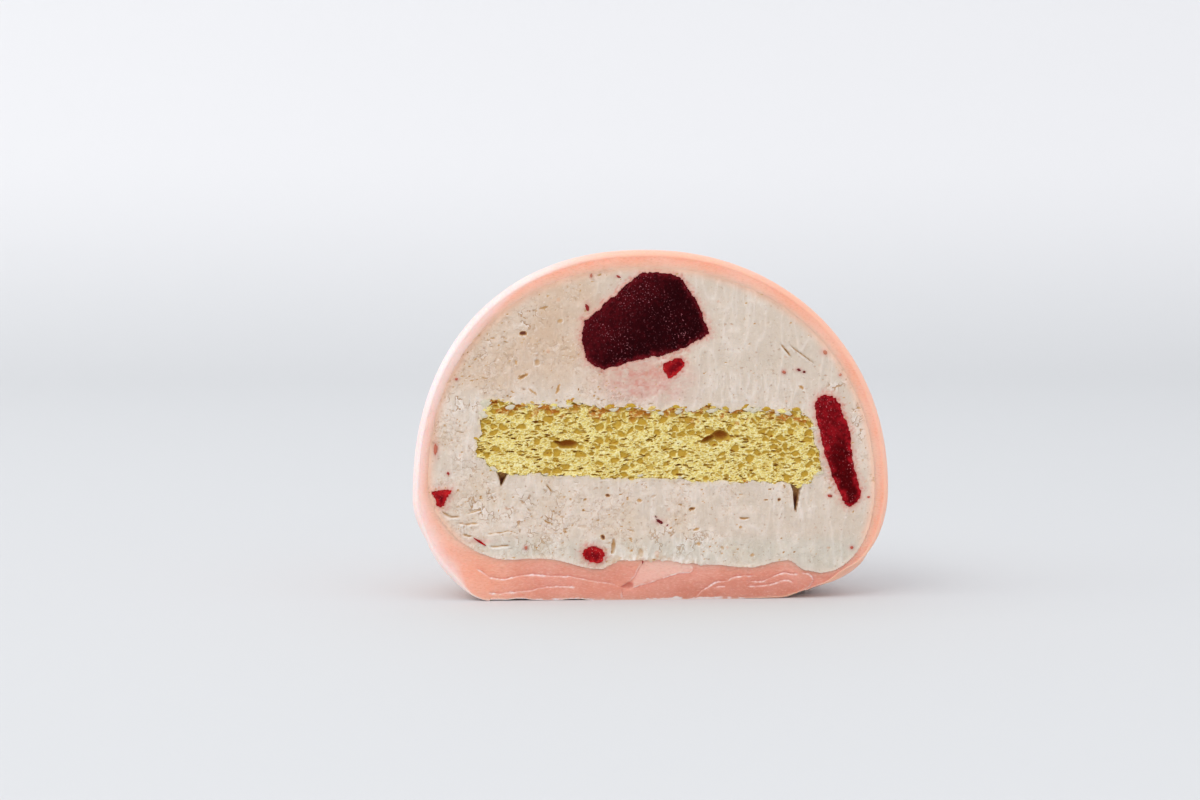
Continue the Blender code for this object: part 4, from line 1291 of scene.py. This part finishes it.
class Nodes:
    """Short ways to add shader nodes to one material."""

    def __init__(self, name):
        self.material = bpy.data.materials.new(name)
        self.material.use_nodes = True
        self.tree = self.material.node_tree
        self.shader = self.tree.nodes["Principled BSDF"]

    def link(self, source, target):
        """Joins an output to an input."""
        self.tree.links.new(source, target)

    def value(self, name):
        """A value that the mesh holds at its points."""
        node = self.tree.nodes.new("ShaderNodeAttribute")
        node.attribute_name = name
        return node.outputs["Fac"]

    def place(self, stretch=(1, 1, 1)):
        """The place on the object, stretched along each axis."""
        coordinates = self.tree.nodes.new("ShaderNodeTexCoord")
        mapping = self.tree.nodes.new("ShaderNodeMapping")
        mapping.inputs["Scale"].default_value = stretch
        self.link(coordinates.outputs["Object"], mapping.inputs["Vector"])
        return mapping.outputs["Vector"]

    def noise(self, size, detail=3.0, stretch=(1, 1, 1), roughness=0.5):
        """Noise whose features are about size across."""
        node = self.tree.nodes.new("ShaderNodeTexNoise")
        node.inputs["Scale"].default_value = 1 / size
        node.inputs["Detail"].default_value = detail
        node.inputs["Roughness"].default_value = roughness
        self.link(self.place(stretch), node.inputs["Vector"])
        return node.outputs["Fac"]

    def ramp(self, source, low, high, start=0.0, end=1.0):
        """Carries source from low..high to start..end, smoothly and no further."""
        node = self.tree.nodes.new("ShaderNodeMapRange")
        node.interpolation_type = "SMOOTHSTEP"
        for name, number in (("From Min", low), ("From Max", high), ("To Min", start), ("To Max", end)):
            node.inputs[name].default_value = number
        self.link(source, node.inputs["Value"])
        return node.outputs["Result"]

    def line(self, source, middle, half_width):
        """1 where source is close to middle, which draws thin winding lines through a noise."""
        away = self.math("ABSOLUTE", self.math("SUBTRACT", source, middle), 0.0)
        return self.ramp(away, half_width * 0.3, half_width, 1.0, 0.0)

    def plus(self, first, second):
        """The sum of two values."""
        return self.math("ADD", first, second)

    def times(self, first, second):
        """The product of two values."""
        return self.math("MULTIPLY", first, second)

    def part(self, name, share):
        """Some share of a value that the mesh holds at its points."""
        return self.times(self.value(name), share)

    def math(self, operation, first, second):
        """A sum, product and so on of two values, each an output or a number."""
        node = self.tree.nodes.new("ShaderNodeMath")
        node.operation = operation
        for socket, source in zip(node.inputs, (first, second)):
            if isinstance(source, (int, float)):
                socket.default_value = source
            else:
                self.link(source, socket)
        return node.outputs[0]

    def mix(self, share, first, second):
        """A colour between two, each an output or three numbers."""
        node = self.tree.nodes.new("ShaderNodeMix")
        node.data_type = "RGBA"
        colours = [socket for socket in node.inputs if socket.type == "RGBA"]
        for socket, source in zip(colours, (first, second)):
            if isinstance(source, tuple):
                socket.default_value = (*source, 1)
            else:
                self.link(source, socket)
        self.link(share, node.inputs[0])
        return [socket for socket in node.outputs if socket.type == "RGBA"][0]

    def over(self, colour, *layers):
        """A colour with layers over it, each given as how much of it shows and its own colour."""
        for share, layer in layers:
            colour = self.mix(share, colour, layer)
        return colour

    def bump(self, source, height):
        """A normal from source, whose full range stands height high."""
        node = self.tree.nodes.new("ShaderNodeBump")
        node.inputs["Distance"].default_value = height
        self.link(source, node.inputs["Height"])
        return node.outputs["Normal"]

    def dress(self, colour, normal=None, **numbers):
        """Gives the shader its colour, its normal and its numbers, with _ for a space in their names."""
        self.link(colour, self.shader.inputs["Base Color"])
        if normal is not None:
            self.link(normal, self.shader.inputs["Normal"])
        for name, number in numbers.items():
            self.shader.inputs[name.replace("_", " ")].default_value = number

    def soften(self, weight, scale, radius):
        """Lets light pass into the surface."""
        for name, number in (("Weight", weight), ("Scale", scale), ("Radius", radius)):
            self.shader.inputs["Subsurface " + name].default_value = number


def skin_material():
    """Rice dough: peach where the wall is cut, dusty pink where the base is, and powdered pale outside,
    paler on the lit left with a painted highlight.
    """
    m = Nodes("rice_skin")
    blotch = m.noise(0.006, 4.0)
    drift = m.noise(0.016)
    fine = m.noise(0.0004, roughness=0.7)
    grainy = m.noise(0.00022, 2.0, stretch=(0.5, 1, 1.4))
    powder = m.plus(m.ramp(drift, 0.3, 0.7, 0.15, 0.65), m.ramp(fine, 0.4, 0.7, -0.08, 0.22))
    powder = m.plus(powder, m.ramp(blotch, 0.40, 0.70, -0.06, 0.16))
    powder = m.math("SUBTRACT", powder, m.part("valley", 0.45))
    outside = m.over(
        (0.93, 0.50, 0.36),
        (powder, (0.94, 0.80, 0.79)),
        # pale dust that is partly a painted highlight on the lit left
        (m.part("dust", 0.6), (0.94, 0.80, 0.81)),
        (m.part("peach", 0.85), (0.94, 0.48, 0.34)),
    )
    base = m.over(
        (0.75, 0.31, 0.225),
        (m.ramp(m.noise(0.004), 0.38, 0.62), (0.80, 0.365, 0.28)),
        (m.part("pale", 0.8), (0.88, 0.54, 0.45)),
        # painted shade low on the base, near the table
        (m.part("low", 0.5), (0.54, 0.18, 0.12)),
    )
    dough = m.over(
        (0.94, 0.43, 0.29),
        (m.ramp(blotch, 0.35, 0.65), (0.95, 0.50, 0.37)),
        (m.value("base"), base),
        (m.part("shade", 0.6), (0.62, 0.17, 0.12)),
        (m.ramp(grainy, 0.52, 0.72, 0.0, 0.30), (0.62, 0.24, 0.15)),
        (m.ramp(grainy, 0.48, 0.30, 0.0, 0.25), (0.90, 0.60, 0.50)),
        (m.part("creamy", 0.55), (0.88, 0.64, 0.50)),
    )
    colour = m.over(outside, (m.value("cut"), dough), (m.part("starch", 0.85), (0.93, 0.80, 0.76)))
    m.link(m.ramp(fine, 0.3, 0.7, 0.60, 0.85), m.shader.inputs["Roughness"])
    m.dress(colour, m.bump(fine, 0.00005), Sheen_Weight=0.1, Sheen_Roughness=0.5, Specular_IOR_Level=0.2)
    m.soften(0.5, 0.0022, (1.0, 0.45, 0.3))
    return m.material


@cache
def cream_material():
    """Whipped cream: warm off-white, torn into fine crevices with ochre painted shade and painted
    highlights on their lips, peach where it meets the skin.
    """
    m = Nodes("cream")
    cloud = m.noise(0.004, 4.0)
    streak = m.noise(0.0006, stretch=(1, 1, 0.3))
    fine = m.noise(0.00026, roughness=0.7)
    holes = m.noise(0.0004, 2.0, roughness=0.6)
    folds = m.noise(0.0014, 2.5, roughness=0.6)
    torn, curl, pit = m.value("torn"), m.value("curl"), m.value("pit")
    # thin winding crevices with ochre painted shade
    hair_crack_shade = m.line(m.noise(0.0012, stretch=(0.8, 1, 1.5), roughness=0.6), 0.5, 0.012)
    hair_crack_shade = m.times(hair_crack_shade, m.ramp(m.times(torn, cloud), 0.2, 0.5, 0.0, 0.4))
    # painted shade along the edges of the curls, and a painted highlight beside them
    curl_crevice_shade = m.times(m.line(folds, 0.5, 0.022), m.ramp(curl, 0.0, 0.6))
    curl_highlight = m.times(m.ramp(folds, 0.51, 0.53), m.ramp(folds, 0.60, 0.54))
    colour = m.over(
        (0.67, 0.60, 0.495),
        (m.ramp(cloud, 0.35, 0.65), (0.75, 0.69, 0.61)),
        (m.ramp(torn, 0.0, 0.4, 0.75, 0.0), (0.61, 0.55, 0.46)),
        # lighter streaks: painted highlights on the drag ridges
        (m.ramp(streak, 0.48, 0.72, 0.0, 0.3), (0.84, 0.78, 0.70)),
        (m.part("streak", 0.5), (0.90, 0.86, 0.81)),
        (m.times(m.value("warm"), m.ramp(cloud, 0.3, 0.7, 0.75, 0.40)), (0.60, 0.43, 0.29)),
        (m.times(torn, m.ramp(fine, 0.35, 0.65, 0.0, 0.35)), (0.66, 0.49, 0.33)),
        (m.ramp(fine, 0.42, 0.30, 0.0, 0.4), (0.86, 0.80, 0.73)),
        (hair_crack_shade, (0.62, 0.42, 0.25)),
        (m.times(curl_crevice_shade, 0.85), (0.42, 0.23, 0.09)),
        (m.times(curl_highlight, m.times(curl, 0.9)), (0.92, 0.88, 0.83)),
        # small holes with painted shade
        (m.ramp(holes, 0.64, 0.72, 0.0, 0.55), (0.55, 0.29, 0.15)),
        (m.ramp(m.noise(0.0013, 1.0), 0.74, 0.80, 0.0, 0.45), (0.68, 0.36, 0.20)),
        # painted highlight on the lower lips of pits, cracks and flakes
        (m.part("lip", 0.75), (0.92, 0.88, 0.82)),
        (m.part("stain", 0.8), (0.60, 0.19, 0.16)),
        (m.part("crumby", 0.6), (0.78, 0.64, 0.26)),
        (m.part("border", 0.8), (0.93, 0.54, 0.38)),
        # painted shade in pits, cracks, gaps and hole walls, tinted ochre and then dark brown
        (m.ramp(pit, 0.0, 0.5), (0.60, 0.34, 0.13)),
        (m.ramp(pit, 0.38, 0.85), (0.15, 0.035, 0.015)),
    )
    sunk = m.plus(m.times(m.plus(hair_crack_shade, curl_crevice_shade), -0.6), m.ramp(holes, 0.64, 0.76, 0.0, -0.8))
    m.dress(colour, m.bump(m.plus(fine, sunk), 0.00011), Roughness=0.6, Specular_IOR_Level=0.3)
    m.soften(0.15, 0.0006, (1.0, 0.7, 0.5))
    return m.material


@cache
def sponge_material():
    """Sponge crumb: thin pale walls with painted highlights, mustard pores with painted shade, a few of
    them brown, and a browner top.
    """
    m = Nodes("sponge")
    fine = m.noise(0.00022, 2.0)
    pore = m.value("pore")
    crust = m.times(m.value("crust"), m.ramp(m.noise(0.0004, 2.0), 0.36, 0.56, 0.1, 0.95))
    colour = m.over(
        (0.79, 0.63, 0.17),
        (m.ramp(m.noise(0.003), 0.35, 0.65), (0.85, 0.71, 0.23)),
        (m.ramp(fine, 0.45, 0.72, 0.0, 0.6), (0.92, 0.84, 0.48)),
        (m.ramp(fine, 0.28, 0.48, 0.5, 0.0), (0.66, 0.46, 0.10)),
        # pale walls and painted highlights at the pores' lower lips
        (m.part("wall", 0.75), (0.92, 0.86, 0.52)),
        # painted shade in the pores, mustard and then brown
        (m.times(m.ramp(pore, 0.0, 0.35), 0.9), (0.54, 0.32, 0.025)),
        (m.ramp(pore, 0.32, 0.85), (0.27, 0.08, 0.006)),
        (crust, (0.50, 0.17, 0.02)),
    )
    m.dress(colour, m.bump(fine, 0.00010), Roughness=0.85, Specular_IOR_Level=0.15)
    m.soften(0.1, 0.0005, (1.0, 0.8, 0.4))
    return m.material


# Colours of each kind of berry: dark flesh, bright flesh, edge and frost
BERRY_COLOURS = {
    "berry_top": (
        (0.018, 0.0005, 0.0015), (0.045, 0.0012, 0.0030), (0.16, 0.007, 0.012), (0.34, 0.11, 0.13),
    ),
    "berry_side": (
        (0.065, 0.0005, 0.0015), (0.15, 0.0012, 0.0030), (0.44, 0.010, 0.018), (0.55, 0.14, 0.15),
    ),
    "berry_chip": (
        (0.15, 0.002, 0.006), (0.42, 0.005, 0.009), (0.56, 0.018, 0.020), (0.75, 0.20, 0.18),
    ),
}


@cache
def berry_material(slot):
    """Frozen berry: deep red, brighter at its edge, with fine frost."""
    dark, bright, edge, ice = BERRY_COLOURS[slot]
    m = Nodes(slot + "_frost")
    fibre = m.noise(0.0005)
    frost = m.noise(0.00020, 1.0)
    where = m.ramp(m.noise(0.0035, 2.0), 0.42, 0.62)
    colour = m.over(
        dark,
        (m.ramp(fibre, 0.45, 0.75, 0.0, 0.6), bright),
        (m.ramp(m.noise(0.003), 0.5, 0.7, 0.0, 0.3), bright),
        (m.times(m.value("edge"), m.ramp(fibre, 0.3, 0.65, 0.35, 0.9)), edge),
        (m.value("pale"), (0.62, 0.27, 0.17)),
        (m.value("dim"), (0.10, 0.015, 0.02)),
        (m.times(m.ramp(frost, 0.62, 0.74), m.ramp(where, 0.0, 1.0, 0.25, 1.0)), ice),
    )
    m.dress(colour, m.bump(frost, 0.00010), Roughness=0.85, Specular_IOR_Level=0.04)
    return m.material


# The paper under and behind the half: its colours, the table's darker than the wall's as painted light and
# shade, its ends, its wall's height and how widely it bends
FLOOR_COLOUR = (0.637, 0.652, 0.657)
WALL_COLOUR = (0.81, 0.815, 0.82)
PAPER_NEAR = -1.6
PAPER_FAR = 0.9
PAPER_HEIGHT = 1.5
PAPER_HALF_WIDTH = 2.5
PAPER_BEND = 0.35
PAPER_BEND_STEPS = 12

# Soft square lights: name, place, size and power
LIGHTS = (
    ("window", (-0.9, -0.1, 0.8), 1.0, 2.8),
    ("key", (-0.45, -0.75, 0.8), 0.5, 2.2),
)
LIGHT_TARGET = (0, 0, 0.02)
ROOM_COLOUR = (0.965, 0.965, 1.0, 1)
ROOM_STRENGTH = 1.04

# The camera, 305 mm in front of the cut, before its left part and almost as high as its top
CAMERA_PLACE = (-0.0267, -0.305, 0.044)
CAMERA_TURN = (math.radians(90 - 3.36), 0.0, math.radians(-3.72))
CAMERA_LENS = 71.0


def paper_material():
    """Matt paper, painted a little darker on the table and lighter on the wall, as painted light and shade.
    """
    m = Nodes("paper")
    split = m.tree.nodes.new("ShaderNodeSeparateXYZ")
    m.link(m.place(), split.inputs["Vector"])
    colour = m.mix(m.ramp(split.outputs["Z"], -0.03, 0.10), FLOOR_COLOUR, WALL_COLOUR)
    m.dress(colour, Roughness=0.8, Specular_IOR_Level=0.2)
    return m.material


def make_backdrop():
    """A pale table top that curves up into a pale wall behind the object."""
    profile = [(PAPER_NEAR, 0.0)]
    for k in range(PAPER_BEND_STEPS + 1):
        turn = math.pi / 2 * k / PAPER_BEND_STEPS
        y = PAPER_FAR - PAPER_BEND + PAPER_BEND * math.sin(turn)
        profile.append((y, PAPER_BEND - PAPER_BEND * math.cos(turn)))
    profile.append((PAPER_FAR, PAPER_HEIGHT))
    points = [(x, y, z) for x in (-PAPER_HALF_WIDTH, PAPER_HALF_WIDTH) for y, z in profile]
    count = len(profile)
    faces = [(k, k + 1, count + k + 1, count + k) for k in range(count - 1)]
    mesh = bpy.data.meshes.new("backdrop")
    mesh.from_pydata(points, [], faces)
    mesh.shade_smooth()
    mesh.materials.append(paper_material())
    backdrop = bpy.data.objects.new("backdrop", mesh)
    bpy.context.scene.collection.objects.link(backdrop)


def light_scene():
    """Soft daylight from the upper left, with pale surroundings."""
    world = bpy.data.worlds.new("room")
    bpy.context.scene.world = world
    world.use_nodes = True
    background = world.node_tree.nodes["Background"]
    background.inputs["Color"].default_value = ROOM_COLOUR
    background.inputs["Strength"].default_value = ROOM_STRENGTH
    for name, place, size, power in LIGHTS:
        data = bpy.data.lights.new(name, "AREA")
        data.shape = "SQUARE"
        data.size = size
        data.energy = power
        light = bpy.data.objects.new(name, data)
        light.location = place
        aim = Vector(LIGHT_TARGET) - light.location
        light.rotation_euler = aim.to_track_quat("-Z", "Y").to_euler()
        bpy.context.scene.collection.objects.link(light)


def make_camera():
    """The camera, at the photograph's height and angle."""
    data = bpy.data.cameras.new("camera")
    data.lens = CAMERA_LENS
    data.clip_start = 0.01
    camera = bpy.data.objects.new("camera", data)
    x, y, z = CAMERA_PLACE
    camera.location = (x, CUT_Y + y, z)
    camera.rotation_euler = CAMERA_TURN
    bpy.context.scene.collection.objects.link(camera)
    bpy.context.scene.camera = camera


bpy.context.scene.view_settings.view_transform = "Standard"
make_skin()
make_cream()
make_specks()
make_seam_bits()
make_sponge()
for berry_number, cut_berry in enumerate(BERRIES):
    make_berry(berry_number, cut_berry)
make_backdrop()
light_scene()
make_camera()
